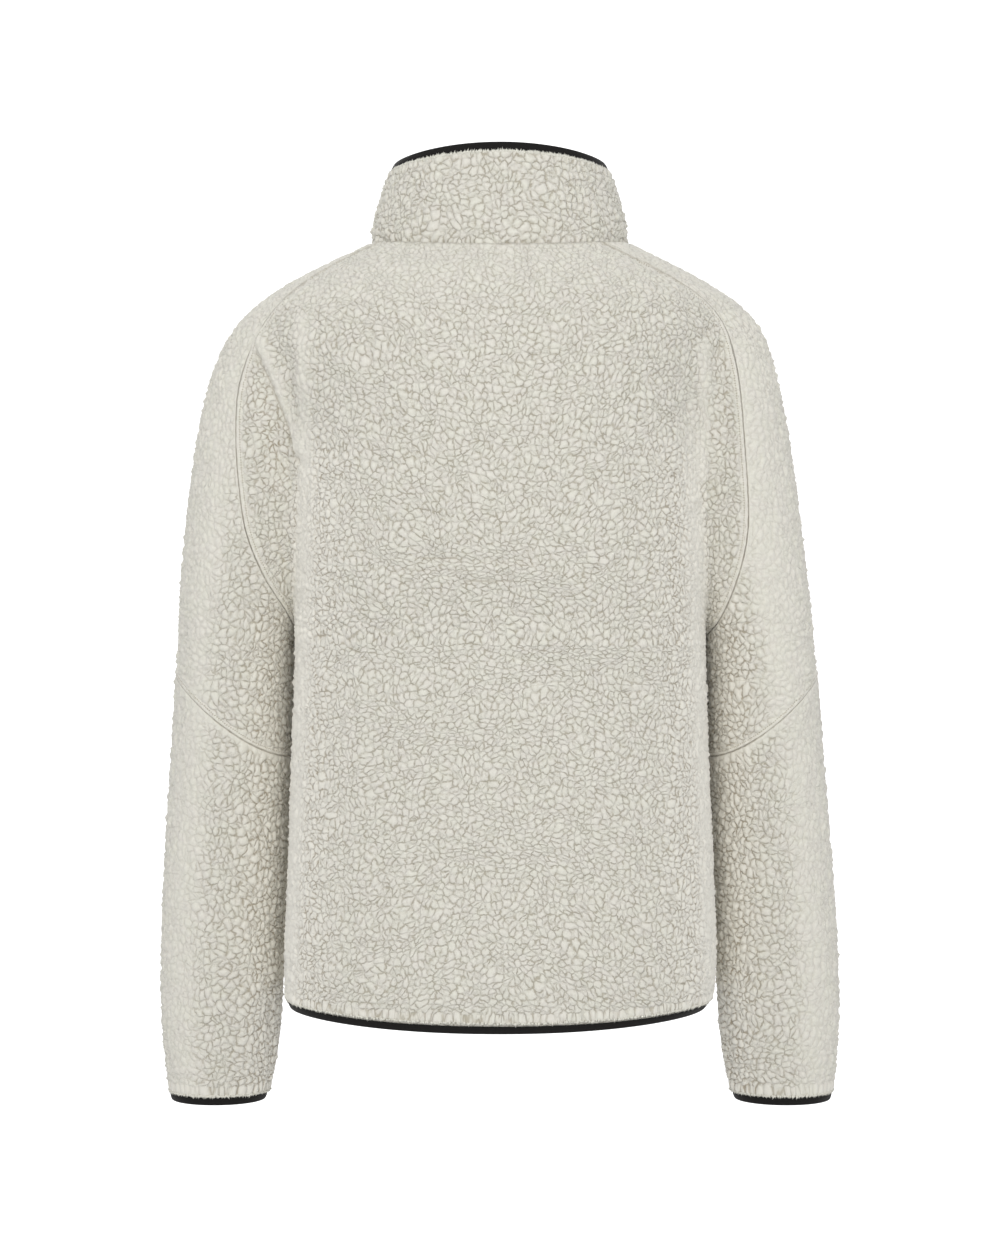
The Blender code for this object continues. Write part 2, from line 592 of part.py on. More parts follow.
def add_pull(place):
    """The tab hangs plumb from the slider's pin."""
    wide, thick = TAB_HALF
    end_z = wide - PULL_LENGTH
    eye = cylinder(EYE_RADIUS, EYE_HALF, (0, 0, 0), "Y")
    neck = box((-EYE_HALF, -NECK_HALF, TAB_TOP - NECK_HALF), (EYE_HALF, NECK_HALF, NECK_TOP))
    tab = box((-wide, -thick, end_z), (wide, thick, TAB_TOP))
    end = cylinder(wide, thick, (0, 0, end_z), "X", segments=24)
    hole = cylinder(EYE_HOLE, 2 * EYE_HALF, (0, 0, 0), "Y", segments=16)
    return add_joined("zip_pull", [eye, neck, tab, end], [hole], place, (METAL, 0.35, 0.9))


for leftover in list(bpy.data.objects):
    bpy.data.objects.remove(leftover)
JACKET = bpy.data.collections.new("sherpa_jacket")
bpy.context.scene.collection.children.link(JACKET)

body_rows = {side: torso_rows(BODY_LEVELS + YOKE_LEVELS, side) for side in (1, -1)}
left_back, left_yoke, left_front = body_rows[1]
right_back, right_yoke, right_front = (mirrored(rows) for rows in body_rows[-1])
panels = {
    "back": np.concatenate([right_back, left_back[:, 1:]], axis=1),
    "front_left": left_front,
    "front_right": right_front,
    "sleeve_upper_left": np.concatenate([upper_arm_rows(1), left_yoke]),
    "sleeve_upper_right": np.concatenate([mirrored(upper_arm_rows(-1)), right_yoke]),
    "sleeve_lower_left": lower_arm_rows(1),
    "sleeve_lower_right": mirrored(lower_arm_rows(-1)),
}
ROUND_NECK = ("front_right", "sleeve_upper_right", "back", "sleeve_upper_left", "front_left")
neck_parts = [panels[name][-1, :: 2 if "sleeve" in name else 1] for name in ROUND_NECK]
neck = np.vstack([neck_parts[0]] + [part[1:] for part in neck_parts[1:]])
panels["collar"], collar_edge = collar_rows(neck)
normals = shared_normals(panels)

SEWN = {
    "back": ("first", "last", "top"),
    "front_left": ("first", "top"),
    "front_right": ("last", "top"),
    "sleeve_upper_left": ("first", "last", "bottom", "top"),
    "sleeve_upper_right": ("first", "last", "bottom", "top"),
    "sleeve_lower_left": ("first", "last", "top"),
    "sleeve_lower_right": ("first", "last", "top"),
    "collar": ("bottom",),
}
PINCHED = {"collar": [-2, -1], "sleeve_upper_left": [], "sleeve_upper_right": []}
for name, grid in panels.items():
    add_panel(name, grid, normals[name], SEWN[name], PINCHED.get(name, [0, 1]))

hem = {side: torso_rows([HEM_LEVEL], side) for side in (1, -1)}
hem_edge = np.vstack([
    mirrored(hem[-1][2])[0], mirrored(hem[-1][0])[0][1:], hem[1][0][0][1:], hem[1][2][0][1:],
])
ROUND_HEM = ("front_right", "back", "front_left")


def round_hem(grids, row):
    parts = [grids[name][row] for name in ROUND_HEM]
    return np.vstack([parts[0]] + [part[1:] for part in parts[1:]])


hem_into = unit(round_hem(panels, 1) - hem_edge)
add_binding("hem_binding", hem_edge, round_hem(normals, 0), hem_into, closed=False)
collar_into = unit(panels["collar"][-2] - collar_edge)
add_binding("collar_binding", collar_edge, normals["collar"][-1], collar_into, closed=False)
for side in (1, -1):
    name = "sleeve_lower_" + side_name(side)
    edge = arm_row(np.full(len(ARM_SHARES), CUFF_LEVEL), side)
    edge = edge if side > 0 else mirrored(edge[None])[0]
    into = unit(panels[name][1] - edge)
    add_binding("cuff_binding_" + side_name(side), edge[:-1], normals[name][0][:-1], into[:-1], closed=True)

fronts = {"left": left_front, "right": right_front}
front_normals = {side: normals["front_" + side] for side in fronts}
line, out = add_zip(fronts, panels["collar"], front_normals, normals["collar"])
depth_to_top = lengths(line)[-1] + EDGE_RISE[0] - SLIDER_DROP
slider_at = read_along(line, lengths(line), depth_to_top)
slider_out = unit(read_along(out, lengths(line), depth_to_top))
up = np.cross([1, 0, 0], -slider_out)
slider_place = Matrix((
    (1, 0, 0, 0), *((0, -slider_out[i], up[i], slider_at[i]) for i in (1, 2)), (0, 0, 0, 1),
))
below = lengths(line) < depth_to_top - 2 * TEETH_END
teeth_end = slider_at + up * TEETH_END
add_teeth(np.vstack([line[below][1:], teeth_end]), np.vstack([out[below][1:], slider_out]))
add_slider(slider_place)
pin = slider_place @ Vector((0, PIN_Y, PIN_Z))
add_pull(Matrix.Translation(pin))
print("zip pull pivot", tuple(round(value, 5) for value in pin))
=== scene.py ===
# %% [markdown]
# # A sherpa fleece jacket, worn and seen from behind
#
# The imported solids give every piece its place. This script gives them their looks. Each fleece solid is
# copied, refined and covered with curly pile, the bindings are smoothed, and seams, folds, stitches and zip
# teeth are added. Everything is in metres: up is +Z, the front faces -Y and the wearer's left is +X.

# %% Load the frame
import math
from collections import namedtuple

import bmesh
import bpy
import numpy as np
from mathutils import Matrix, Vector
from mathutils.bvhtree import BVHTree
from mathutils.kdtree import KDTree


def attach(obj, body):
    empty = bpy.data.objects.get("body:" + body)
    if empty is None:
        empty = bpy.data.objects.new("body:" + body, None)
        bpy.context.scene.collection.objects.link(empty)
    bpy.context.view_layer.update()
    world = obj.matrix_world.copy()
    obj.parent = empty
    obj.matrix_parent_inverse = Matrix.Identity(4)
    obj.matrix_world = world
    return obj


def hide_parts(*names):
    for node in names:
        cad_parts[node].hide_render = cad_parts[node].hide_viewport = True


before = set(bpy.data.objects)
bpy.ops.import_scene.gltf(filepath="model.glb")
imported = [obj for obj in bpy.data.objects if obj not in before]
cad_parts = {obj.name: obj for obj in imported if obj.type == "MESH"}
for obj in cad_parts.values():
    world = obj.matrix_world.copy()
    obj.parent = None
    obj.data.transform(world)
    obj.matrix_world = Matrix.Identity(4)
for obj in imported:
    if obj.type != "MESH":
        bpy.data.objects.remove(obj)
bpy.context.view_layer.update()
rng = np.random.default_rng(7)

# %% [markdown]
# ## Camera
#
# The photograph was taken from straight behind, 2.4 m from the middle of the jacket. A longer lens from
# farther off would show the same size but less of the sleeves' and the collar's roundness. The camera looks
# level along -Y.

# %% Camera
CAMERA_AWAY = 2.4
CAMERA_LEVEL = -0.304
LENS_MM = 86.4


def add_object(name, data):
    """A new object in the scene."""
    made = bpy.data.objects.new(name, data)
    bpy.context.scene.collection.objects.link(made)
    return made


camera_data = bpy.data.cameras.new("camera")
camera_data.lens = LENS_MM
camera_data.sensor_width = 36
camera = add_object("camera", camera_data)
camera.location = (0, CAMERA_AWAY, CAMERA_LEVEL)
camera.rotation_euler = (math.pi / 2, 0, math.pi)
bpy.context.scene.camera = camera
print("camera at", tuple(camera.location), "with a lens of", LENS_MM, "mm")


# %% [markdown]
# ## Helpers for nodes
#
# Materials and geometry nodes are built from the same few nodes, so each of these helpers adds one of them
# and returns the socket that is read next. A pattern is then written as if it were arithmetic.

# %% Node helpers
def set_inputs(tree, node, inputs):
    """Sets the node's inputs, each to a value or linked to the socket of another node."""
    for name, value in inputs.items():
        if isinstance(value, bpy.types.NodeSocket):
            tree.links.new(value, node.inputs[name])
        else:
            node.inputs[name].default_value = value


def add_node(tree, kind, inputs=None, **settings):
    node = tree.nodes.new(kind)
    for name, value in settings.items():
        setattr(node, name, value)
    set_inputs(tree, node, inputs or {})
    return node


def maths(tree, operation, *values, clamp=False):
    inputs = dict(enumerate(values))
    return add_node(tree, "ShaderNodeMath", inputs, operation=operation, use_clamp=clamp).outputs[0]


def vector_maths(tree, operation, inputs):
    return add_node(tree, "ShaderNodeVectorMath", inputs, operation=operation).outputs[0]


def remap(tree, value, low, high, at_low=0.0, at_high=1.0):
    """From at_low to at_high with soft ends, while the value goes from low to high."""
    inputs = {"Value": value, "From Min": low, "From Max": high, "To Min": at_low, "To Max": at_high}
    return add_node(tree, "ShaderNodeMapRange", inputs, interpolation_type="SMOOTHSTEP").outputs["Result"]


def noise(tree, place, size, detail=2.0, roughness=0.5, output="Fac", **settings):
    inputs = {"Vector": place, "Scale": 1 / size, "Detail": detail, "Roughness": roughness}
    return add_node(tree, "ShaderNodeTexNoise", inputs, **settings).outputs[output]


def cells(tree, place, size):
    """Distance from the borders between cells of about the given size, as a share of the size."""
    inputs = {"Vector": place, "Scale": 1 / size}
    settings = {"feature": "DISTANCE_TO_EDGE", "voronoi_dimensions": "2D"}
    return add_node(tree, "ShaderNodeTexVoronoi", inputs, **settings).outputs["Distance"]


def mix_colour(tree, share, first, second):
    """From the first colour to the second. Mix has its colours at inputs 6 and 7 and at output 2."""
    inputs = {0: share, 6: first, 7: second}
    return add_node(tree, "ShaderNodeMix", inputs, data_type="RGBA").outputs[2]


def bump(tree, height, strength, distance):
    inputs = {"Height": height, "Strength": strength, "Distance": distance}
    return add_node(tree, "ShaderNodeBump", inputs).outputs[0]


# %% [markdown]
# ## The pile's pattern
#
# The same nodes are used twice: as geometry nodes they give each vertex its height, and in the material
# they paint shade into the cracks and carry the detail that is too fine for the mesh. Both read the
# attribute "flat", a point's place on the cloth's flat cut in metres, so the painted shade lies in cracks
# of the shape and nubs keep their size all round a sleeve. The photograph shows nubs of 5 to 8 mm with thin
# cracks between them, and cells of a Voronoi texture look like that once their borders wander.

# %% Pile pattern
NUB = 0.0052  # distance from one nub of the pile to the next
CURL = 0.0030  # distance between the curls that nubs split up into here and there
DRAG = 0.0042  # how far whole patches are dragged, which draws their nubs long
DRAG_SIZE = 0.026
WARP = 0.0019  # how far cracks wander
WARP_SIZE = 0.0040
RUFFLE_SIZE = 0.0048  # how wide the waves of the uneven pile on the sides are
SPLIT_SIZE = 0.009  # nubs split up into curls in patches of this size
NUB_FLANK = 0.45  # the share of a nub's size that slopes, in the mesh
NUB_ROUND = 0.7  # the power that makes a nub's slope a round dome
DOME_SHARE = 0.75  # the nub's share of the height; the rest is its curls'


def pushed(tree, place, reach, size, detail):
    """The place pushed about by a smooth noise of the given reach and size."""
    push = noise(tree, place, size, detail=detail, output="Color", noise_dimensions="2D")
    push = vector_maths(tree, "SUBTRACT", {0: push, 1: (0.5, 0.5, 0.5)})
    push = vector_maths(tree, "SCALE", {0: push, "Scale": 2 * reach})
    return vector_maths(tree, "ADD", {0: place, 1: push})


def pile_pattern(tree, place):
    """Sockets from 0 in a crack to 1 on a nub, for the nubs and for the curls that some split up into."""
    dragged = pushed(tree, place, DRAG, DRAG_SIZE, 0.0)
    wandering = pushed(tree, dragged, WARP, WARP_SIZE, 3.0)
    nub = cells(tree, wandering, NUB)
    curl = cells(tree, wandering, CURL)
    split = noise(tree, place, SPLIT_SIZE, detail=1.0, noise_dimensions="2D")
    return nub, maths(tree, "ADD", curl, remap(tree, split, 0.34, 0.52, 0.0, 0.3))


def pile_height(tree, place, flank):
    """From 0 in a crack to 1 on top of a nub. The flank is the share of a nub's size that slopes."""
    nub, curl = pile_pattern(tree, place)
    dome = maths(tree, "POWER", remap(tree, nub, 0.0, flank), NUB_ROUND)
    dome = maths(tree, "MULTIPLY", dome, DOME_SHARE)
    lump = maths(tree, "MULTIPLY", remap(tree, curl, 0.0, flank), 1 - DOME_SHARE)
    return maths(tree, "ADD", dome, lump)


def height_tree():
    tree = bpy.data.node_groups.new("pile_height", "GeometryNodeTree")
    tree.interface.new_socket("Geometry", in_out="INPUT", socket_type="NodeSocketGeometry")
    tree.interface.new_socket("Geometry", in_out="OUTPUT", socket_type="NodeSocketGeometry")
    start = tree.nodes.new("NodeGroupInput")
    flat = add_node(tree, "GeometryNodeInputNamedAttribute", {"Name": "flat"}, data_type="FLOAT_VECTOR")
    inputs = {"Geometry": start.outputs[0], "Name": "height"}
    inputs["Value"] = pile_height(tree, flat.outputs["Attribute"], NUB_FLANK)
    store = add_node(tree, "GeometryNodeStoreNamedAttribute", inputs, domain="POINT", data_type="FLOAT")
    uneven = noise(tree, flat.outputs["Attribute"], RUFFLE_SIZE, detail=1.5, noise_dimensions="2D")
    inputs = {"Geometry": store.outputs[0], "Name": "ruffle", "Value": uneven}
    store = add_node(tree, "GeometryNodeStoreNamedAttribute", inputs, domain="POINT", data_type="FLOAT")
    end = tree.nodes.new("NodeGroupOutput")
    tree.links.new(store.outputs[0], end.inputs[0])
    return tree


HEIGHT_TREE = height_tree()
print("pile pattern", len(HEIGHT_TREE.nodes), "nodes")


# %% [markdown]
# ## Colours
#
# The fleece is cream, and the elastic and the zip are black. A picture of such cloth could be the colour of
# each, but it would blur from close by. A few plain colours, mixed by the patterns, stay sharp at any
# distance. They are linear values, which are lower numbers than a screen has for the same colour.

# %% Colours
def colour(red, green, blue):
    return (red, green, blue, 1.0)


FLEECE_TOP = colour(0.742, 0.725, 0.640)
FLEECE_TINT = colour(0.745, 0.716, 0.648)
FLEECE_LIGHT = colour(0.80, 0.790, 0.715)
# painted shade in the cracks between nubs
FLEECE_CRACK_SHADE = colour(0.290, 0.245, 0.160)
# deeper painted shade in the cracks where the body and the sleeves shade each other and in the hollows of
# folds
FLEECE_DEEP_SHADE = colour(0.310, 0.245, 0.155)
# painted light on the nub tops where the body and the sleeves shade each other
FLEECE_PAINTED_LIGHT = colour(0.860, 0.835, 0.755)
BACKING = colour(0.66, 0.63, 0.555)
THREAD = colour(0.60, 0.57, 0.50)
BLACK_KNIT = colour(0.0080, 0.0074, 0.0068)
BLACK_WORN = colour(0.018, 0.017, 0.015)
ZIP_PLASTIC = colour(0.012, 0.012, 0.012)
ZIP_PAINT = colour(0.09, 0.09, 0.095)


# %% [markdown]
# ## Curly pile
#
# The colour of pile is nearly even: what shows is painted shade in the cracks between nubs, each with a
# dark core and a paler halo, strong in some places and almost closed in others. Along a seam, a row of
# stitches and a sharp crease the cloth has painted shade too. All of these lines are ramps on a distance, so
# each is a Ramp with its distances, or shares of a nub's size, and the darkness at either end.

# %% Curly pile
def new_material(name):
    """A new material, its nodes and its Principled BSDF."""
    made = bpy.data.materials.new(name)
    made.use_nodes = True
    tree = made.node_tree
    return made, tree, tree.nodes["Principled BSDF"]


Ramp = namedtuple("Ramp", "low high at_low at_high")
WHOLE_NOISE = Ramp(0.3, 0.7, 0.0, 1.0)  # nearly all of a noise's values lie between these
# the painted shade in the cracks between nubs and round their curls
CRACK_HALO = Ramp(0.0, 0.34, 0.18, 0.0)
CRACK_CORE = Ramp(0.0, 0.15, 0.72, 0.0)
CURL_HALO = Ramp(0.0, 0.24, 0.12, 0.0)
CURL_CORE = Ramp(0.0, 0.12, 0.28, 0.0)
CRACK_STRENGTH = Ramp(0.34, 0.60, 0.18, 1.0)
PARTING_STRENGTH = Ramp(0.0, 0.16, 0.45, 0.0)
CRACK_IN_SHADE = Ramp(0.0, 1.0, 0.62, 0.80)
LIGHT_SWELLINGS = Ramp(0.40, 0.66, 0.0, 0.6)
# painted shade in the grooves of seams, in pinholes and in creases
SEAM_LINE = Ramp(0.0002, 0.0012, 0.65, 0.0)
SEAM_LINE_BROKEN = Ramp(0.3, 0.7, 0.4, 1.0)
PINHOLE = Ramp(0.0002, 0.0007, 0.8, 0.0)
CREASE_LINE = Ramp(0.0004, 0.0016, 0.45, 0.0)
PARTING = 0.021  # distance between the longer lines along which the cracks gape
LUMP = 0.0017  # size of the small swellings on a nub
STITCH_STEP = 0.0020
BROKEN_SIZE = 0.0050  # cracks are strong and weak in patches of this size
PARTING_WARP = 0.006
PARTING_WARP_SIZE = 0.018
TINT_SIZE = 0.014
FIBRE_SIZE = 0.0011
CREASE_WANDER = 0.0008
FINE_FLANK = 0.26  # in the bump, nubs are steeper than in the mesh


def stored(tree, name, output="Fac"):
    """What the piece's mesh stores under the name."""
    return add_node(tree, "ShaderNodeAttribute", attribute_name=name).outputs[output]


def crack_shade(tree, place, nub, curl, broken):
    """The painted shade in the cracks where the pile is full: round nubs and, more faintly, round their
    curls.
    """
    parting = cells(tree, pushed(tree, place, PARTING_WARP, PARTING_WARP_SIZE, 2.0), PARTING)
    strength = maths(
        tree, "ADD", remap(tree, broken, *CRACK_STRENGTH), remap(tree, parting, *PARTING_STRENGTH)
    )
    crack = maths(tree, "ADD", remap(tree, nub, *CRACK_HALO), remap(tree, nub, *CRACK_CORE))
    crack = maths(tree, "MULTIPLY", crack, strength)
    curls = maths(tree, "ADD", remap(tree, curl, *CURL_HALO), remap(tree, curl, *CURL_CORE))
    return maths(tree, "MAXIMUM", crack, curls)


def groove_shade(tree, broken):
    """The painted shade in seams' grooves, in the pinholes beside them and in sharp creases."""
    line = remap(tree, stored(tree, "line"), *SEAM_LINE)
    line = maths(tree, "MULTIPLY", line, remap(tree, broken, *SEAM_LINE_BROKEN))
    along = maths(tree, "MULTIPLY", maths(tree, "PINGPONG", stored(tree, "pins"), 0.5), STITCH_STEP)
    aside = maths(tree, "SUBTRACT", stored(tree, "seam"), stored(tree, "row_at"))
    along = maths(tree, "POWER", along, 2.0)
    aside = maths(tree, "MULTIPLY", aside, aside)
    gap = maths(tree, "SQRT", maths(tree, "ADD", along, aside))
    crease = maths(tree, "ADD", stored(tree, "crease"), maths(tree, "MULTIPLY", broken, CREASE_WANDER))
    dark = maths(tree, "MAXIMUM", line, remap(tree, gap, *PINHOLE))
    return maths(tree, "MAXIMUM", dark, remap(tree, crease, *CREASE_LINE))


def fleece_material():
    """Curly pile: light nubs, painted shade in the cracks where the pile is full, small curls and fibres as
    bump.
    """
    made, tree, shader = new_material("fleece_pile")
    place = stored(tree, "flat", "Vector")
    full = stored(tree, "full")
    shade = stored(tree, "shade")
    nub, curl = pile_pattern(tree, place)
    broken = noise(tree, place, BROKEN_SIZE, detail=1.5, noise_dimensions="2D")
    crack = crack_shade(tree, place, nub, curl, broken)
    # where the pile is less full the painted crack shade fades, which paints the light on the sides and on
    # top
    crack = maths(tree, "MULTIPLY", crack, full, clamp=True)
    # the cracks get deeper painted shade where the body and the sleeves shade each other and in hollows
    crack = maths(tree, "MULTIPLY", crack, remap(tree, shade, *CRACK_IN_SHADE))
    dark = maths(tree, "MAXIMUM", crack, groove_shade(tree, broken))
    tint = noise(tree, place, TINT_SIZE, detail=1)
    top = mix_colour(tree, remap(tree, tint, 0.35, 0.65), FLEECE_TOP, FLEECE_TINT)
    lump = noise(tree, place, LUMP, detail=1.5)
    top = mix_colour(tree, remap(tree, lump, *LIGHT_SWELLINGS), top, FLEECE_LIGHT)
    # painted light on the nub tops where the body and the sleeves shade each other
    top = mix_colour(tree, stored(tree, "painted_light"), top, FLEECE_PAINTED_LIGHT)
    painted = mix_colour(tree, dark, top, mix_colour(tree, shade, FLEECE_CRACK_SHADE, FLEECE_DEEP_SHADE))
    fibre = noise(tree, place, FIBRE_SIZE, detail=3, roughness=0.6)
    height = maths(tree, "ADD", pile_height(tree, place, FINE_FLANK), maths(tree, "MULTIPLY", lump, 0.25))
    height = maths(tree, "ADD", height, maths(tree, "MULTIPLY", fibre, 0.35))
    height = maths(tree, "MULTIPLY", height, maths(tree, "MULTIPLY_ADD", full, 0.75, 0.25))
    set_inputs(tree, shader, {"Base Color": painted, "Normal": bump(tree, height, 0.65, 0.0015)})
    set_inputs(tree, shader, {"Roughness": 0.95, "Specular IOR Level": 0.15})
    set_inputs(tree, shader, {"Sheen Weight": 0.35, "Sheen Roughness": 0.6})
    return made


# %% [markdown]
# ## Backing, elastic, zip and thread
#
# Inside, fleece is a smooth brushed knit. The elastic is a black rib knit and the tapes are a finer weave,
# both with a little lint. The teeth are moulded plastic, the slider and its tab painted metal, and the seams
# are sewn with cream thread. Image textures would need these small pieces unwrapped. Noise and wave textures
# read an object's own coordinates instead, so they need nothing from the mesh.

# %% Other materials
FLUFF_SIZE = 0.004
LINT_SIZE = 0.0016
SCRATCH_SIZE = 0.0012
PLY_SIZE = 0.0006
WAVE_SCALE = 0.31  # a wave texture of this scale has one band for each metre


def brushed_material(name, first, second):
    """Brushed wool-like fibres: the smooth inside of the fleece, and the ends of its curls."""
    made, tree, shader = new_material(name)
    place = add_node(tree, "ShaderNodeTexCoord").outputs["Object"]
    fluff = noise(tree, place, FLUFF_SIZE, detail=4, roughness=0.65)
    painted = mix_colour(tree, remap(tree, fluff, *WHOLE_NOISE), first, second)
    inputs = {"Base Color": painted, "Normal": bump(tree, fluff, 0.5, 0.001), "Roughness": 0.95}
    set_inputs(tree, shader, inputs)
    return made


def knit_material(name, rib):
    """Black knitted elastic or woven tape: fine ribs, with a little lint."""
    made, tree, shader = new_material(name)
    place = add_node(tree, "ShaderNodeTexCoord").outputs["Object"]
    lint = noise(tree, place, LINT_SIZE, detail=4, roughness=0.7)
    painted = mix_colour(tree, remap(tree, lint, 0.5, 0.8), BLACK_KNIT, BLACK_WORN)
    inputs = {"Vector": place, "Scale": WAVE_SCALE / rib}
    inputs |= {"Distortion": 1.5, "Detail": 1.0, "Detail Scale": 2.0}
    ribs = add_node(tree, "ShaderNodeTexWave", inputs, bands_direction="DIAGONAL")
    height = maths(tree, "ADD", ribs.outputs["Fac"], lint)
    set_inputs(tree, shader, {"Base Color": painted, "Normal": bump(tree, height, 0.5, 0.0003)})
    set_inputs(tree, shader, {"Roughness": 0.8, "Specular IOR Level": 0.2})
    set_inputs(tree, shader, {"Sheen Weight": 0.1, "Sheen Roughness": 0.4})
    return made


def hard_material(name, base, roughness, metallic):
    """Moulded plastic or painted metal with a fine uneven gloss."""
    made, tree, shader = new_material(name)
    place = add_node(tree, "ShaderNodeTexCoord").outputs["Object"]
    wear = noise(tree, place, SCRATCH_SIZE, detail=3)
    gloss = remap(tree, wear, 0.3, 0.7, roughness - 0.08, roughness + 0.1)
    painted = mix_colour(tree, remap(tree, wear, 0.45, 0.8, 0.0, 0.5), base, BLACK_WORN)
    set_inputs(tree, shader, {"Base Color": painted, "Roughness": gloss, "Metallic": metallic})
    return made


def thread_material():
    """Cream sewing thread, mottled as twisted plies are."""
    made, tree, shader = new_material("stitch_thread")
    place = add_node(tree, "ShaderNodeTexCoord").outputs["Object"]
    ply = noise(tree, place, PLY_SIZE, detail=2)
    painted = mix_colour(tree, remap(tree, ply, *WHOLE_NOISE), THREAD, BACKING)
    set_inputs(tree, shader, {"Base Color": painted, "Roughness": 0.8})
    return made


PILE = fleece_material()
INSIDE = brushed_material("fleece_backing", BACKING, FLEECE_TOP)
TUFT = brushed_material("fleece_tuft", FLEECE_TOP, FLEECE_LIGHT)
KNIT = knit_material("binding_knit", rib=0.0009)
TAPE = knit_material("zip_weave", rib=0.0005)
TEETH = hard_material("zip_moulded", ZIP_PLASTIC, 0.35, 0.0)
METAL = hard_material("zip_painted", ZIP_PAINT, 0.32, 0.9)
STITCH = thread_material()
print("materials", [material.name for material in (PILE, INSIDE, TUFT, KNIT, TAPE, TEETH, METAL, STITCH)])


# %% [markdown]
# ## Skins
#
# A fleece solid is a wall of cloth. Its faces fall into three groups at its sharp edges: the outer skin, the
# inner skin and the rims that join them. Only the outer skin carries pile. Hair particles would give real
# pile, but no mesh that can be exported, so the skin itself is to be moved into nubs. Its rows of faces are
# counted from a bound edge, so that the pile can fold over the binding.

# %% Skins
BINDINGS = {
    "back": "hem_binding",
    "front_left": "hem_binding",
    "front_right": "hem_binding",
    "sleeve_lower_left": "cuff_binding_left",
    "sleeve_lower_right": "cuff_binding_right",
    "collar": "collar_binding",
}
RIM_ANGLE = math.radians(50)
CORNER_ANGLE = math.radians(130)  # a rim that turns more sharply than this keeps its corner
INNER_SKIN, OUTER_SKIN = 1, 2  # the rims have 0
SAME_PLACE = 1e-5  # corners of a solid's triangles closer than this are one
BOUND_ROW = 1.01  # rows below this lie inside a binding
FREE_ROW = 3  # the number of all rows past the third, and of a piece without a binding
BINDING_NEAR = 0.001
LEVEL_SHARE = 0.7  # an edge that climbs more than this share of its length doesn't run along a binding


def skins_of(mesh):
    """The outer skin's and the inner skin's faces, found by walking over edges that aren't sharp."""
    left, groups = set(mesh.faces), []
    while left:
        stack = [left.pop()]
        group = []
        while stack:
            face = stack.pop()
            group.append(face)
            for edge in face.edges:
                if edge.calc_face_angle(math.pi) > RIM_ANGLE:
                    continue
                for other in edge.link_faces:
                    if other in left:
                        left.remove(other)
                        stack.append(other)
        groups.append(group)
    groups.sort(key=lambda group: -sum(face.calc_area() for face in group))
    outer, inner, *others = groups
    corners = {vert for face in outer for vert in face.verts}
    outer += [face for group in others for face in group if corners.issuperset(face.verts)]
    return outer, inner


def kd_tree(points):
    tree = KDTree(len(points))
    for i, point in enumerate(points):
        tree.insert(point, i)
    tree.balance()
    return tree


def count_rows(mesh, row, outer, binding):
    """Numbers the outer skin's rows from its bound edge in the layer row: 0, 1, 2 and then FREE_ROW."""
    for vert in mesh.verts:
        vert[row] = FREE_ROW
    if binding is None:
        return
    tree = kd_tree([corner.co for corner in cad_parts[binding].data.vertices])
    inside = set(outer)

    def at_edge(edge):
        faces = [face in inside for face in edge.link_faces]
        run = edge.verts[1].co - edge.verts[0].co
        near = all(tree.find(vert.co)[2] < BINDING_NEAR for vert in edge.verts)
        return sum(faces) == 1 and near and abs(run.z) < LEVEL_SHARE * run.length

    front = {vert for edge in mesh.edges if at_edge(edge) for vert in edge.verts}
    for number in (0, 1, 2):
        for vert in front:
            vert[row] = number
        touched = {face for vert in front for face in vert.link_faces if face in inside}
        beyond = {vert for face in touched for vert in face.verts}
        front = {vert for vert in beyond if vert[row] == FREE_ROW}


def borders(edge, skin):
    """Whether the edge is where the outer or the inner skin ends at the rim."""
    return any(face[skin] for face in edge.link_faces)


# %% [markdown]
# ## The flat cut
#
# Cloth is cut flat before it is sewn, and its pile belongs to that flat cut. Projecting a pattern from the
# side would be simpler, but it would stretch the nubs wherever the cloth turns away. Unwrapping with the
# least stretch keeps their size. The result goes to a layer of the vertices, where the geometry nodes and
# the material both read it.

# %% Lay a skin flat
def lay_flat(made, coarseness):
    """Unwraps the selected faces to the piece's flat cut, upright, in the layer "flat".

    It is in metres, divided by the coarseness, which makes the pile's nubs that much larger.
    """
    for other in bpy.context.selected_objects:
        other.select_set(False)
    made.select_set(True)
    bpy.context.view_layer.objects.active = made
    bpy.context.tool_settings.mesh_select_mode = (False, False, True)
    made.data.uv_layers.new(name="cut")
    bpy.ops.object.mode_set(mode="EDIT")
    bpy.ops.uv.unwrap(method="MINIMUM_STRETCH", iterations=30, margin=0)
    bpy.ops.object.mode_set(mode="OBJECT")
    mesh = bmesh.new()
    mesh.from_mesh(made.data)
    cut = mesh.loops.layers.uv["cut"]
    flat = mesh.verts.layers.float_vector.new("flat")
    shown = [face for face in mesh.faces if face.select]
    for face in shown:
        for loop in face.loops:
            loop.vert[flat] = (*loop[cut].uv, 0)
    places = np.array([vert[flat][:2] for face in shown for vert in face.verts])
    levels = np.array([vert.co.z for face in shown for vert in face.verts])
    up = np.linalg.lstsq(places - places.mean(axis=0), levels - levels.mean(), rcond=None)[0]
    up /= np.linalg.norm(up)
    size = math.sqrt(sum(face.calc_area() for face in shown) / sum(loops_area(face, cut) for face in shown))
    size /= coarseness
    for vert in {vert for face in shown for vert in face.verts}:
        across = up[1] * vert[flat].x - up[0] * vert[flat].y
        along = up[0] * vert[flat].x + up[1] * vert[flat].y
        vert[flat] = (size * across, size * along, 0)
    mesh.loops.layers.uv.remove(cut)
    mesh.to_mesh(made.data)
    mesh.free()


def loops_area(face, cut):
    corners = [loop[cut].uv for loop in face.loops]
    return abs(sum(a.cross(b) for a, b in zip(corners, corners[1:] + corners[:1]))) / 2


# %% [markdown]
# ## Refine the skins
#
# A Subdivision Surface rounds each solid once. More of its levels would refine the hidden inside too, so
# bmesh.ops.subdivide_edges then cuts only the outer skin, into faces of about 1 mm. Edges between the skins
# and the rims are creased, and those of the inner skin also stay sharp in the shading.

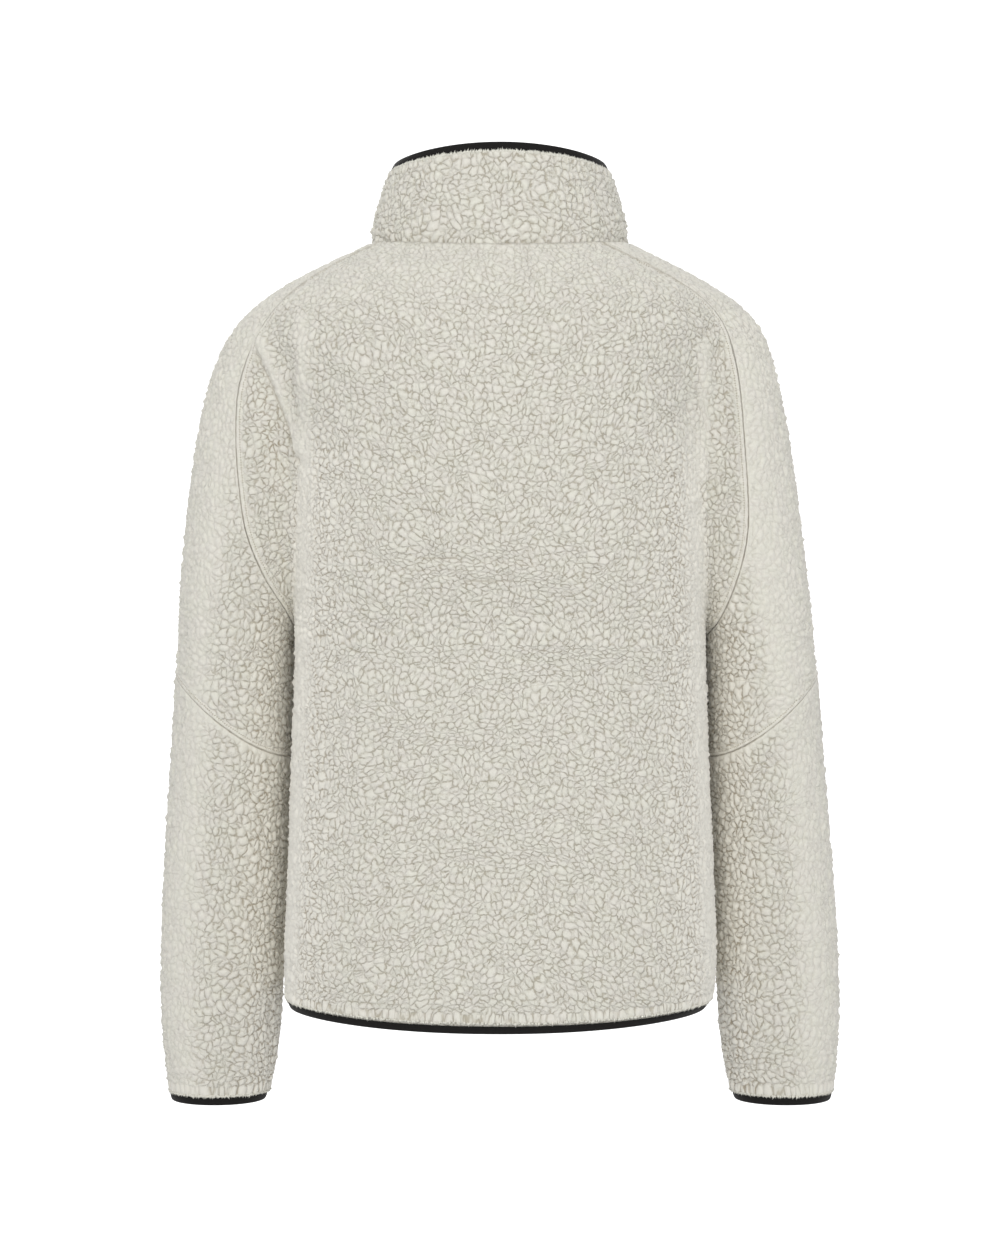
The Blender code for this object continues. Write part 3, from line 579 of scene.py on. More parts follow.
# %% Refine the skins
def refined(name, cover):
    """A copy of a node's mesh with its outer skin refined. It keeps the layers "row", "skin" and "flat"."""
    mesh = bmesh.new()
    mesh.from_mesh(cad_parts[name].data)
    bmesh.ops.remove_doubles(mesh, verts=mesh.verts, dist=SAME_PLACE)
    skin = mesh.faces.layers.int.new("skin")
    row = mesh.verts.layers.float.new("row")
    crease = mesh.edges.layers.float.new("crease_edge")
    outer, inner = skins_of(mesh)
    for group, number in ((outer, OUTER_SKIN), (inner, INNER_SKIN)):
        for face in group:
            face[skin] = number
    count_rows(mesh, row, outer, BINDINGS.get(name))
    for edge in mesh.edges:
        skins = {face[skin] for face in edge.link_faces}
        edge[crease] = len(skins) > 1
        edge.smooth = not (edge[crease] and INNER_SKIN in skins)
    corner = mesh.verts.layers.float.new("crease_vert")
    for vert in mesh.verts:
        rim = [edge for edge in vert.link_edges if edge[crease] and borders(edge, skin)]
        ways = [edge.other_vert(vert).co - vert.co for edge in rim]
        vert[corner] = len(ways) == 2 and ways[0].angle(ways[1]) < CORNER_ANGLE
    bmesh.ops.join_triangles(
        mesh, faces=outer + inner, angle_face_threshold=math.pi, angle_shape_threshold=math.pi
    )
    mesh.select_mode = {"FACE"}
    for face in mesh.faces:
        face.select_set(face[skin] == OUTER_SKIN)
    data = bpy.data.meshes.new(name)
    mesh.to_mesh(data)
    mesh.free()
    made = add_object("pile_" + name, data)
    lay_flat(made, cover.coarseness)
    subdivide(made, 1, "PRESERVE_CORNERS")
    mesh = bmesh.new()
    mesh.from_mesh(made.data)
    skin, row = mesh.faces.layers.int["skin"], mesh.verts.layers.float["row"]
    skin_faces = [face for face in mesh.faces if face[skin] == OUTER_SKIN]
    shown = [face for face in skin_faces if max(vert[row] for vert in face.verts) > BOUND_ROW]
    edges = list({edge for face in shown for edge in face.edges})
    bmesh.ops.subdivide_edges(mesh, edges=edges, cuts=cover.cuts, use_grid_fill=True)
    mesh.to_mesh(made.data)
    mesh.free()
    return made


def new_object(name, mesh, material, smooth=True):
    """Turns a finished bmesh into an object of one material."""
    data = bpy.data.meshes.new(name)
    mesh.to_mesh(data)
    mesh.free()
    data.materials.append(material)
    data.polygons.foreach_set("use_smooth", np.full(len(data.polygons), smooth))
    return add_object(name, data)


def subdivide(made, levels, boundary="ALL"):
    """Rounds the object with a Subdivision Surface and applies it."""
    rounding = made.modifiers.new("rounding", "SUBSURF")
    rounding.levels = rounding.render_levels = levels
    rounding.boundary_smooth = boundary
    graph = bpy.context.evaluated_depsgraph_get()
    old = made.data
    made.data = bpy.data.meshes.new_from_object(made.evaluated_get(graph))
    made.modifiers.clear()
    bpy.data.meshes.remove(old)


# %% [markdown]
# ## Folds
#
# Where the cloth is held at a seam and hangs from it, soft ridges and troughs form. Sculpting or a cloth
# simulation could make them, but neither puts a fold just where it is wanted. Here each fold is a line on
# the back or the front, given by its x and z, and the cloth near it rises or sinks. Where it is drawn tight
# over a ridge the pile lies smooth, with little painted shade in its cracks, and in a hollow its cracks get
# deeper painted shade. The hidden front has folds of the same kind.

# %% Folds
SEAM_REACH = 0.013  # how far from a seam or a crease it still counts
SHARP = 0.0030  # folds narrower than this are creases, with a line of painted shade at the bottom
Fold = namedtuple("Fold", "facing half rise smooth shade line")
FOLDS = [
    # left armpit: a tight ridge, the sharp crease under it, the hollow beside it and a softer second ridge
    Fold(1, 0.0062, 0.0042, 1.0, 0.0, [(0.187, -0.081), (0.178, -0.104), (0.166, -0.136), (0.1553, -0.1665)]),
    Fold(1, 0.0022, -0.0034, 0.5, 0.9, [(0.190, -0.093), (0.1786, -0.117), (0.169, -0.141), (0.157, -0.176)]),
    Fold(1, 0.0105, -0.0048, 0.0, 0.9, [(0.188, -0.117), (0.184, -0.137), (0.178, -0.160), (0.174, -0.188)]),
    Fold(1, 0.0050, -0.0026, 0.0, 0.3, [(0.165, -0.096), (0.1627, -0.128), (0.160, -0.147)]),
    Fold(1, 0.0085, 0.0020, 0.8, 0.0, [(0.152, -0.067), (0.1515, -0.190)]),
    # right armpit: a soft ridge, the hollow between it and the seam, and two short dimples
    Fold(1, 0.0080, 0.0030, 0.8, 0.0, [(-0.1585, -0.088), (-0.159, -0.185)]),
    Fold(1, 0.0085, -0.0030, 0.0, 0.4, [(-0.1725, -0.094), (-0.174, -0.165)]),
    Fold(1, 0.0032, -0.0026, 0.0, 0.7, [(-0.160, -0.0776), (-0.165, -0.0745)]),
    Fold(1, 0.0020, -0.0022, 0.0, 0.6, [(-0.173, -0.084), (-0.170, -0.097)]),
    # creases across the small of the back
    Fold(1, 0.0026, -0.0016, 0.0, 0.7, [(0.061, -0.2535), (0.033, -0.2535)]),
    Fold(1, 0.0026, -0.0016, 0.0, 0.7, [(0.013, -0.256), (-0.029, -0.2565)]),
    Fold(1, 0.0026, -0.0013, 0.0, 0.5, [(0.077, -0.2615), (0.0545, -0.262)]),
    Fold(1, 0.0026, -0.0013, 0.0, 0.5, [(0.0265, -0.271), (-0.010, -0.2705)]),
    Fold(1, 0.0140, 0.0018, 0.0, 0.0, [(0.090, -0.275), (0.000, -0.266), (-0.090, -0.279)]),
    # the hidden front has creases of the same kind
    Fold(-1, 0.0070, 0.0036, 0.9, 0.0, [(0.176, -0.100), (0.166, -0.140), (0.158, -0.180)]),
    Fold(-1, 0.0060, -0.0032, 0.0, 0.6, [(0.160, -0.105), (0.153, -0.150)]),
    Fold(-1, 0.0070, 0.0034, 0.9, 0.0, [(-0.170, -0.098), (-0.160, -0.140), (-0.154, -0.176)]),
    Fold(-1, 0.0060, -0.0030, 0.0, 0.6, [(-0.155, -0.108), (-0.149, -0.150)]),
    Fold(-1, 0.0090, -0.0020, 0.0, 0.3, [(0.120, -0.300), (0.060, -0.318), (0.025, -0.314)]),
    Fold(-1, 0.0090, -0.0019, 0.0, 0.3, [(-0.118, -0.330), (-0.070, -0.345), (-0.025, -0.338)]),
]

def gap_to_line(places, line):
    """Distance of each place from a line through the given points, both flat."""
    best = np.full(len(places), np.inf)
    for start, end in zip(line[:-1], line[1:]):
        start, run = np.array(start), np.subtract(end, start)
        share = np.clip((places - start) @ run / (run @ run), 0, 1)
        best = np.minimum(best, np.linalg.norm(places - start - share[:, None] * run, axis=1))
    return best


def step(value, low, high):
    """From 0 at low to 1 at high, with soft ends. low may be the larger."""
    share = np.clip((value - low) / (high - low), 0, 1)
    return share * share * (3 - 2 * share)


def folds_at(points, normals):
    """The rise, smoothness and shade that folds give each point, and its distance from a crease."""
    rise, smooth, shade = np.zeros((3, len(points)))
    crease = np.full(len(points), SEAM_REACH)
    for fold in FOLDS:
        near = step(normals[:, 1] * fold.facing, -0.05, 0.25) * (points[:, 1] * fold.facing > -0.02)
        shape = np.exp(-((gap_to_line(points[:, [0, 2]], fold.line) / fold.half) ** 2)) * near
        rise += fold.rise * shape
        smooth = np.maximum(smooth, fold.smooth * shape**2)
        shade = np.maximum(shade, fold.shade * shape)
        if fold.half < SHARP:
            gap = gap_to_line(points[:, [0, 2]], fold.line)
            crease = np.where(near > 0.5, np.minimum(crease, gap), crease)
    return rise, smooth, shade, crease


# %% [markdown]
# ## Squeezed nubs
#
# Wrinkles across the back press the nubs flat from above and below, which folds in the shape alone don't do
# to the pattern. Scaling the whole pattern would flatten the nubs everywhere. Here the flat cut is drawn
# together in height only at each wrinkle, before the pattern is laid on it.

# %% Squeezed nubs
Squeeze = namedtuple("Squeeze", "facing x z half width push")
SQUEEZES = [  # where wrinkles press the nubs flat from above and below: push against width tells how much
    Squeeze(1, 0.030, -0.254, 0.075, 0.0090, 0.0065),
    Squeeze(1, -0.020, -0.271, 0.065, 0.0080, 0.0055),
    Squeeze(1, -0.060, -0.330, 0.060, 0.0110, 0.0065),
    Squeeze(1, 0.050, -0.385, 0.070, 0.0130, 0.0060),
    Squeeze(1, -0.010, -0.470, 0.080, 0.0140, 0.0060),
    Squeeze(-1, 0.080, -0.300, 0.060, 0.0100, 0.0065),
    Squeeze(-1, -0.080, -0.335, 0.060, 0.0100, 0.0065),
]


def squeezed(flat, points, normals):
    """The flat places of a body piece, drawn closer together in height where it wrinkles."""
    flat = flat.copy()
    for squeeze in SQUEEZES:
        near = np.exp(-(((points[:, 0] - squeeze.x) / squeeze.half) ** 2))
        near *= normals[:, 1] * squeeze.facing > 0
        flat[:, 1] += squeeze.push * np.tanh((points[:, 2] - squeeze.z) / squeeze.width) * near
    return flat


# %% [markdown]
# ## Seams
#
# Two fleece pieces are sewn face to face and turned, so a seam is a groove with a low smooth lip beside it,
# where the seam allowance lies under the cloth and a second row of stitches holds it down. At the neck the
# collar's pile hangs over the seam and hides it. A cut-in line or a decal would slide off such a seam, so
# each vertex measures how far it is from the nearest one, and its kind tells what the cloth does there.

# %% Seams
Seam = namedtuple("Seam", "depth half lip lip_at bare_to full_from")
SEAMS = {
    "raglan": Seam(0.0003, 0.0009, 0.0004, 0.0019, 0.0034, 0.0075),
    "sleeve head": Seam(0.0003, 0.0009, 0.0000, 0.0030, 0.0002, 0.0030),
    "elbow": Seam(0.0002, 0.0008, 0.0003, 0.0017, 0.0030, 0.0060),
    "neck": Seam(0.0002, 0.0040, 0.0003, 0.0080, 0.0070, 0.0130),
    "collar": Seam(-0.0007, 0.0030, 0.0000, 0.0030, 0.0000, 0.0030),
    "plain": Seam(0.0005, 0.0012, 0.0003, 0.0030, 0.0006, 0.0040),
}
PIN_ROWS = {  # how far from the seam the second row of stitches runs, on the side that has it
    ("body", "raglan"): 0.0034,
    ("upper", "elbow"): 0.0030,
}
NO_PINS = -1.0  # the same for a seam without a second row: no distance is near it
SEAM_GAP = 0.0045  # pieces closer than this are sewn together
SEAM_PARTS = 12  # places looked at along each of its edges
CLOSING = 0.47  # the share of a seam's gap by which each side is moved towards the other
UNDER_COLLAR = -0.35  # where the collar faces down more than this, its corner stays on the neck seam
INTO_SEAM = 0.0022  # how far that corner is let into the shoulders' walls


def seam_key(name, kind):
    """Which part of the jacket the piece belongs to, and the kind of its seam."""
    return ("upper" if "upper" in name else "lower" if "lower" in name else "body"), kind


def seam_kind(name, other):
    """Which seam it is for one piece where it meets another."""
    parts = [part.split("_")[0] if "sleeve" not in part else part[:12] for part in (name, other)]
    if name == "collar":
        return "collar"
    if other == "collar":
        return "neck"
    if parts[0] in ("back", "front") and "sleeve" in other:
        return "raglan"
    if "sleeve" in name and parts[1] in ("back", "front"):
        return "sleeve head"
    if parts[0] != parts[1] and "sleeve" in name and "sleeve" in other:
        return "elbow"
    return "plain"


# %% [markdown]
# ## Meshes as arrays
#
# The refined skins have some 300,000 vertices. Going through them one by one is slow, so whole layers of a
# mesh are read into arrays, worked on at once and written back.

# %% Helpers for arrays
SMOOTHING_ROUNDS = 10


def near_points(targets, points, reach):
    """The nearest target of each point, as distance and index; beyond reach the distance is infinite."""
    tree = kd_tree(targets)
    low, high = targets.min(axis=0) - reach, targets.max(axis=0) + reach
    distance, index = np.full(len(points), np.inf), np.zeros(len(points), int)
    for i in np.flatnonzero(((points > low) & (points < high)).all(axis=1)):
        _, index[i], found = tree.find(points[i])
        distance[i] = found if found < reach else np.inf
    return distance, index


def read(data, name, kind, width=1):
    """One layer of a mesh as an array, with a row for each of its elements."""
    values = np.empty(len(data) * width, kind)
    data.foreach_get(name, values)
    return values.reshape(-1, width) if width > 1 else values


def stored_values(mesh, name, kind=np.float32):
    return read(mesh.attributes[name].data, "value", kind)


def vectors(mesh, name):
    return read(mesh.vertices, name, np.float32, 3).astype(float)


def edge_ends(mesh):
    return read(mesh.edges, "vertices", np.int32, 2)


def add_values(mesh, name, values):
    """Stores a number for each vertex."""
    mesh.attributes.new(name, "FLOAT", "POINT").data.foreach_set("value", values.astype(np.float32))


def vertices_of_skin(mesh):
    """For each vertex, whether it is on the outer skin, and whether on anything else."""
    skin = stored_values(mesh, "skin", np.int32)
    sizes = read(mesh.polygons, "loop_total", np.int32)
    corners = read(mesh.loops, "vertex_index", np.int32)
    on_outer = np.repeat(skin == OUTER_SKIN, sizes)
    count = len(mesh.vertices)
    outer = np.bincount(corners[on_outer], minlength=count) > 0
    other = np.bincount(corners[~on_outer], minlength=count) > 0
    return outer, other


def smoothed(points, edges, free):
    """Rounds off the flats that refining left, holding all points that aren't free."""
    count = len(points)
    neighbours = np.bincount(edges.ravel(), minlength=count)[:, None]
    for _ in range(SMOOTHING_ROUNDS):
        total = np.stack([
            np.bincount(edges[:, 0], points[edges[:, 1], i], count)
            + np.bincount(edges[:, 1], points[edges[:, 0], i], count)
            for i in range(3)
        ], axis=1)
        points = np.where(free[:, None], (points + total / neighbours) / 2, points)
    return points


# %% [markdown]
# ## Where the pile is full
#
# Where the cloth faces sideways, at the sides of the body and on the outside of the sleeves, light reaches
# into the pile: there its nubs lie lower and the painted shade in its cracks fades, which paints that light.
# It is curly all over the collar. A mask could be painted by hand, but it would have to be painted again for
# every change of the shape. Here the way that the cloth faces tells how full it is.

# %% Where the pile is full
SMOOTH_OUTSIDE = {  # where a sleeve's pile gets smooth, with less painted crack shade: the outward share of its normal, from and to
    "sleeve_upper_left": (0.10, 0.65),
    "sleeve_upper_right": (-0.45, 0.25),
    "sleeve_lower_left": (0.05, 0.65),
    "sleeve_lower_right": (-0.10, 0.60),
}


SMOOTH_SIDE = (0.72, 0.95)  # where the body's gets smooth, with less painted crack shade: the sideways share, from and to
SHADED_SIDE = (0.35, 0.9)  # where the body faces a sleeve that shades it
SHADED_LEVELS = (-0.13, -0.20)
SHADED_INSIDE = (-0.1, -0.85)  # where a sleeve faces the body
ON_SHOULDER = (0.05, 0.5)  # the upward share of the normal
SIDE_FLATTENED_AND_LIT, OUTSIDE_FLATTENED_AND_LIT = 0.90, 0.80  # the share of the pile's fullness that is lost there: lower nubs and less painted crack shade
SHOULDER_FULL = 0.6


def fullness(name, points, normals):
    """How full the pile stands, from 0 to 1, by where it faces, and where body and sleeves shade each other.
    """
    sideways = np.abs(normals[:, 0])
    if name == "collar":
        return np.ones(len(points)), np.zeros(len(points))
    if "sleeve" not in name:
        # where body and sleeves shade each other, the cracks get deeper painted shade and the nub tops
        # painted light
        shaded = step(sideways, *SHADED_SIDE) * step(points[:, 2], *SHADED_LEVELS)
        return 1 - SIDE_FLATTENED_AND_LIT * step(sideways, *SMOOTH_SIDE), shaded
    outward = normals[:, 0] * np.sign(points[:, 0])
    full = 1 - OUTSIDE_FLATTENED_AND_LIT * step(outward, *SMOOTH_OUTSIDE[name])
    on_shoulder = step(normals[:, 2], *ON_SHOULDER)
    # the inside of a sleeve, facing the body, gets the same painted shade and painted light
    return np.maximum(full, SHOULDER_FULL * on_shoulder), step(outward, *SHADED_INSIDE)


# %% [markdown]
# ## Finding the seams
#
# The solids leave 0.3 mm between pieces that are sewn together. Vertices on the outer skin's border that
# come close to another piece's border are on a seam, and each side moves almost half way over the gap. The
# two meshes could be joined instead, but each piece has to stay one of its own. Walks along a seam measure
# it for its pinholes and stitches.

# %% Find the seams
def edge_points(made):
    """A piece's vertices on seams, their places, and more places along the seams between them."""
    mesh = made.data
    outer, other = vertices_of_skin(mesh)
    row = stored_values(mesh, "row")
    seam = np.flatnonzero(outer & other & (row > 1.6))
    points = vectors(mesh, "co")
    edges = edge_ends(mesh)
    start, end = points[edges[np.isin(edges, seam).all(axis=1)]].transpose(1, 0, 2)
    shares = np.linspace(0, 1, SEAM_PARTS)[:, None, None]
    return seam, points[seam], (start + (end - start) * shares).reshape(-1, 3)


def seams_of(name):
    """The piece's seam vertices, where each is in the seam's middle, and what kind of seam it is on."""
    seam, points, _ = edges_of[name]
    best = np.full(len(points), SEAM_GAP)
    middle, kinds = points.copy(), np.full(len(points), "plain", dtype=object)
    for other, (_, _, targets) in edges_of.items():
        if other == name:
            continue
        distance, index = near_points(targets, points, SEAM_GAP)
        closer = distance < best
        best = np.where(closer, distance, best)
        closing = 0 if "collar" in (name, other) else CLOSING
        middle[closer] = points[closer] + (targets[index[closer]] - points[closer]) * closing
        kinds[closer] = seam_kind(name, other)
    return seam, middle, kinds


def seam_walks(name, kinds):
    """The unbroken lines that seam vertices of one kind form, as arrays of places in the seam list."""
    seam, _, _ = edges_of[name]
    mesh = fleece[name].data
    order = np.full(len(mesh.vertices), -1)
    order[seam] = np.arange(len(seam))
    edges = order[edge_ends(mesh)]
    edges = edges[(edges >= 0).all(axis=1)]
    edges = edges[kinds[edges[:, 0]] == kinds[edges[:, 1]]]
    joined = {}
    for a, b in edges.tolist():
        joined.setdefault(a, []).append(b)
        joined.setdefault(b, []).append(a)
    walks = []
    while joined:
        ends = [vert for vert, others in joined.items() if len(others) == 1]
        walk = [ends[0] if ends else next(iter(joined))]
        while joined.get(walk[-1]):
            here, then = walk[-1], joined[walk[-1]][0]
            joined[here].remove(then)
            joined[then].remove(here)
            walk.append(then)
        joined = {vert: others for vert, others in joined.items() if others}
        walks.append(np.array(walk))
    return walks


def lengths_along(line):
    """How far along a line each of its points is."""
    return np.concatenate([[0], np.cumsum(np.linalg.norm(np.diff(line, axis=0), axis=1))])


def pin_places(name, points, middle, kinds, nearest):
    """How far along its seam each point lies, in steps of one stitch: pinholes are at whole numbers."""
    along, run = np.zeros(len(middle)), np.zeros((len(middle), 3))
    for walk in seam_walks(name, kinds):
        line = middle[walk]
        along[walk] = lengths_along(line)
        run[walk] = np.gradient(line, axis=0)
    run /= np.maximum(np.linalg.norm(run, axis=1, keepdims=True), 1e-9)
    aside = points - middle[nearest]
    return (along[nearest] + (aside * run[nearest]).sum(axis=1)) / STITCH_STEP


# %% [markdown]
# ## The pile's edge over a binding
#
# A binding squeezes the cloth, and just beside it the pile springs out again and leans over the black
# elastic. A bevel would round that edge evenly. The rows of faces next to the binding are pushed out in a
# curve instead, the LipPoints, and hang down unevenly. Places for tufts are noted along them. The tufts
# themselves are made later, all in one mesh.

# %% Pile over the bindings
LipPoint = namedtuple("LipPoint", "share rise out")
LIP = [
    LipPoint(0.00, 0.0000, 0.0000),
    LipPoint(0.22, 0.0006, 0.0005),
    LipPoint(0.38, 0.0000, 0.0011),
    LipPoint(0.50, 0.0000, 0.0013),
    LipPoint(0.62, 0.0000, 0.0014),
    LipPoint(0.80, 0.0000, 0.0010),
    LipPoint(1.00, 0.0000, 0.0004),
]
TOOTH = 0.0008  # how far the longest curls hang over a binding
TOOTH_AT = 0.5  # the share of the lip where they hang
TUFTS_EACH = 2  # pointed tufts for each vertex along a bound edge
TUFT_ROOT = 0.0016  # how far their feet lie inside the pile
TUFT_LENGTH = 0.0024  # of the longest, past the binding's edge
COLLAR_TUFT_LENGTH = 0.0032
TUFT_SPREAD = 0.0012
CURL_SHARE = 0.06  # the share of the vertices on the collar's sides that carry a loose end
HANG_REACH = 0.16  # how far along the lip they make it uneven, as a share
LIP_REACH = 0.02
Tuft = namedtuple("Tuft", "place normal down length")
TUFTS = []


def lip_over_binding(points, normals, row, outer, longest):
    """The pile comes out of the binding, turns down over it and hangs there in uneven curls."""
    moved = np.zeros_like(points)
    start = np.flatnonzero(outer & (np.abs(row - 1) < 0.01))
    if len(start) == 0:
        return moved
    over = outer & (row > 1.02) & (row < 2.98)
    _, nearest = near_points(points[start], points[over], LIP_REACH)
    into = points[over] - points[start][nearest]
    into -= (into * normals[over]).sum(axis=1, keepdims=True) * normals[over]
    into /= np.linalg.norm(into, axis=1, keepdims=True)
    share = np.clip(row[over] - 1, 0, 2)
    shares, rises, outs = np.array(LIP).T
    hang = rng.uniform(0, 1, len(start))[nearest] ** 1.6 * TOOTH
    rise = np.interp(share, shares, rises) - hang * np.exp(-(((share - TOOTH_AT) / HANG_REACH) ** 2))
    out = np.interp(share, shares, outs) * (1 - step(share, 1.0, 2.0))
    moved[over] = normals[over] * out[:, None] + into * rise[:, None]
    edge = np.abs(share - TOOTH_AT) < 0.06
    away = ((points[over] - points[start][nearest]) * into).sum(axis=1, keepdims=True)
    feet = ((points + moved)[over] - into * (away - TUFT_ROOT))[edge]
    note_tufts(feet, normals[over][edge], into[edge], longest)
    return moved


def note_tufts(feet, normals, into, longest):
    """Notes tufts of uneven lengths at the feet. They point out of the pile, over the binding."""
    for foot, normal, inward in zip(feet, normals, into):
        for _ in range(TUFTS_EACH):
            beside = Vector(normal).cross(Vector(inward)) * rng.uniform(-TUFT_SPREAD, TUFT_SPREAD)
            length = TUFT_ROOT + longest * (0.15 + 0.85 * rng.random() ** 1.8)
            TUFTS.append(Tuft(foot + np.array(beside), normal, -inward, length))


def add_curls(points, normals, outer):
    """Loose ends on the collar's sides, which make its outline uneven."""
    spots = np.flatnonzero(outer & (np.abs(normals[:, 0]) > 0.55) & (rng.random(len(points)) < CURL_SHARE))
    for place, normal in zip(points[spots], normals[spots]):
        side = Vector(normal).cross(Vector(rng.normal(0, 1, 3))).normalized()
        down = (side * 0.6 + Vector(normal) * rng.uniform(0.3, 1.0) - Vector((0, 0, 0.4))).normalized()
        TUFTS.append(Tuft(place, normal, np.array(down), rng.uniform(0.0008, 0.0020)))


# %% [markdown]
# ## Pile
#
# Each vertex of the outer skin is moved along its normal: by the height of the pile, the folds and the
# grooves at the seams. Pile is fullest where the cloth faces back or front. It lies smooth, with lower nubs
# and less painted shade in its cracks, at the sides of the body, on the outside of the sleeves, over ridges
# and beside seams. A displacement texture could carry the pattern, but not the seams, so the height is read
# from geometry nodes and added with arrays.

# %% Shape the pile
NUB_HEIGHT = 0.0025
NUB_TOP = 0.62  # the share of the height that lies below the solid's surface
RUFFLE = 0.0048  # how far the uneven pile on the sides stands out and in
DEEPEST = 0.0028  # how far the pile may be pressed in, so that it never comes through the 5 mm wall
SHOULDER_PILE = 0.55  # how full it stays where the cloth faces up, which weakens the painted crack shade there as light from above would
SEAM_PILE = 0.08  # and at a seam
BINDING_PILE = 0.85  # and where it comes out of a binding
LOW_NUBS = 0.85  # the height of nubs where the pile is smooth, as a share
LIP_HALF = 0.0014
CLEAR_ROW = 2.2  # rows past this are clear of a binding's pull
LINE_ON_SHOULDERS = 0.75  # how much wider a seam's line of painted shade shows where the cloth faces up
LINE_OUTSIDE = 0.0007  # how much a seam's line of painted shade narrows towards the outside of a sleeve


def seam_groove(close, seam):
    """A seam's groove and the lip beside it, by the distance from the seam."""
    lip = seam.lip * np.exp(-(((close - seam.lip_at) / LIP_HALF) ** 2))
    return lip - seam.depth * np.exp(-((close / seam.half) ** 2))


def closed_and_smooth(mesh, name, seam, middle):
    """Closes the piece's seams and rounds off its flats.

    Returns its points, their rows, and whether each point is on the outer skin.
    """
    points = vectors(mesh, "co")
    edges = edge_ends(mesh)
    row = stored_values(mesh, "row")
    outer, other = vertices_of_skin(mesh)
    points[seam] = middle
    free = outer & ~other & (row > CLEAR_ROW)
    if name == "collar":
        under = free & (vectors(mesh, "normal")[:, 2] < UNDER_COLLAR)
        points[under, 2] -= INTO_SEAM
        free &= ~under
    points = smoothed(points, edges, free)
    mesh.vertices.foreach_set("co", points.ravel())
    mesh.update()
    return points, row, outer


def pile_shape(made, name):
    """Moves a refined piece's outer skin to its pile, and stores what the material reads."""
    mesh = made.data
    seam, middle, kinds = seams_of(name)
    points, row, outer = closed_and_smooth(mesh, name, seam, middle)
    normals = vectors(mesh, "normal")
    if "sleeve" not in name and name != "collar":
        flat = mesh.attributes["flat"].data
        places = squeezed(read(flat, "vector", np.float32, 3), points, normals)
        flat.foreach_set("vector", places.astype(np.float32).ravel())
    height, ruffle = pile_heights(made)
    close, nearest = near_points(points[seam], points, SEAM_REACH)
    close = np.minimum(close, SEAM_REACH)
    beside = Seam(*np.array([SEAMS[kind] for kind in kinds])[nearest].T)
    rise, smooth, fold_shade, crease = folds_at(points, normals)
    full, shade = fullness(name, points, normals)
    full *= (1 - smooth) * (SEAM_PILE + (1 - SEAM_PILE) * step(close, beside.bare_to, beside.full_from))
    full *= 1 - (1 - SHOULDER_PILE) * step(normals[:, 2], 0.2, 0.7)
    full *= BINDING_PILE + (1 - BINDING_PILE) * step(row, 1.2, 1.8)
    pile = NUB_HEIGHT * (LOW_NUBS + (1 - LOW_NUBS) * full) * (height - NUB_TOP) * step(close, 0.0, 0.003)
    pile += RUFFLE * (ruffle - 0.5) * step(np.abs(normals[:, 0]), 0.6, 0.95) * step(close, 0.0, 0.006)
    deepest = -DEEPEST * (0.3 + 0.7 * step(row, 1.5, 2.8))
    move = np.maximum(pile + rise + seam_groove(close, beside), deepest) * step(row, 1.0, CLEAR_ROW)
    move[~outer | (row <= BOUND_ROW)] = 0
    longest = COLLAR_TUFT_LENGTH if name == "collar" else TUFT_LENGTH
    shaped = points + normals * move[:, None] + lip_over_binding(points, normals, row, outer, longest)
    mesh.vertices.foreach_set("co", shaped.ravel())
    if name == "collar":
        add_curls(shaped, normals, outer & (row > 2))
    # where a seam's line of painted shade falls; the neck and collar seams get none
    line = close * (1 - LINE_ON_SHOULDERS * step(normals[:, 2], 0.25, 0.75))
    if "sleeve" in name:
        line += LINE_OUTSIDE * step(normals[:, 0] * np.sign(points[:, 0]), 0.1, 0.8)
    line[np.isin(kinds, ("neck", "collar"))[nearest]] = SEAM_REACH
    pin_rows = np.array([PIN_ROWS.get(seam_key(name, kind), NO_PINS) for kind in kinds])
    layers = {
        "full": full,
        "shade": np.maximum(shade, fold_shade),
        "painted_light": shade,
        # painted light on the nub tops where the body and the sleeves shade each other
        "line": line,
        "seam": close,
        "pins": pin_places(name, points, middle, kinds, nearest),
        "row_at": pin_rows[nearest],
        "crease": crease,
    }
    for attribute, values in layers.items():
        add_values(mesh, attribute, values)
    mesh.update()


def pile_heights(made):
    """The height of the pile and of its ruffle at each vertex, from the pattern's nodes."""
    made.modifiers.new("height", "NODES").node_group = HEIGHT_TREE
    shown = made.evaluated_get(bpy.context.evaluated_depsgraph_get())
    layers = stored_values(shown.data, "height"), stored_values(shown.data, "ruffle")
    made.modifiers.clear()
    return layers


# %% [markdown]
# ## Cover the fleece pieces
#
# Every piece gets enough cuts in its edges for faces of about 1 mm, and nubs a little larger on the collar
# and sleeves than on the back, as on the real cloth. All seams are found before any pile is raised, because
# a seam's middle depends on both of its pieces.

# %% Fleece pieces
Cover = namedtuple("Cover", "cuts coarseness")  # the coarseness is the nubs' size against the back's
COVERS = {
    "back": Cover(5, 1.0),
    "front_left": Cover(4, 1.0),
    "front_right": Cover(4, 1.0),
    "sleeve_upper_left": Cover(4, 1.12),
    "sleeve_upper_right": Cover(4, 1.12),
    "sleeve_lower_left": Cover(6, 1.15),
    "sleeve_lower_right": Cover(6, 1.15),
    "collar": Cover(3, 1.15),
}


BODY = "jacket"


def carry(made, node):
    """The piece stands for its node, which is hidden, and moves with the jacket."""
    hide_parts(node)
    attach(made, BODY)


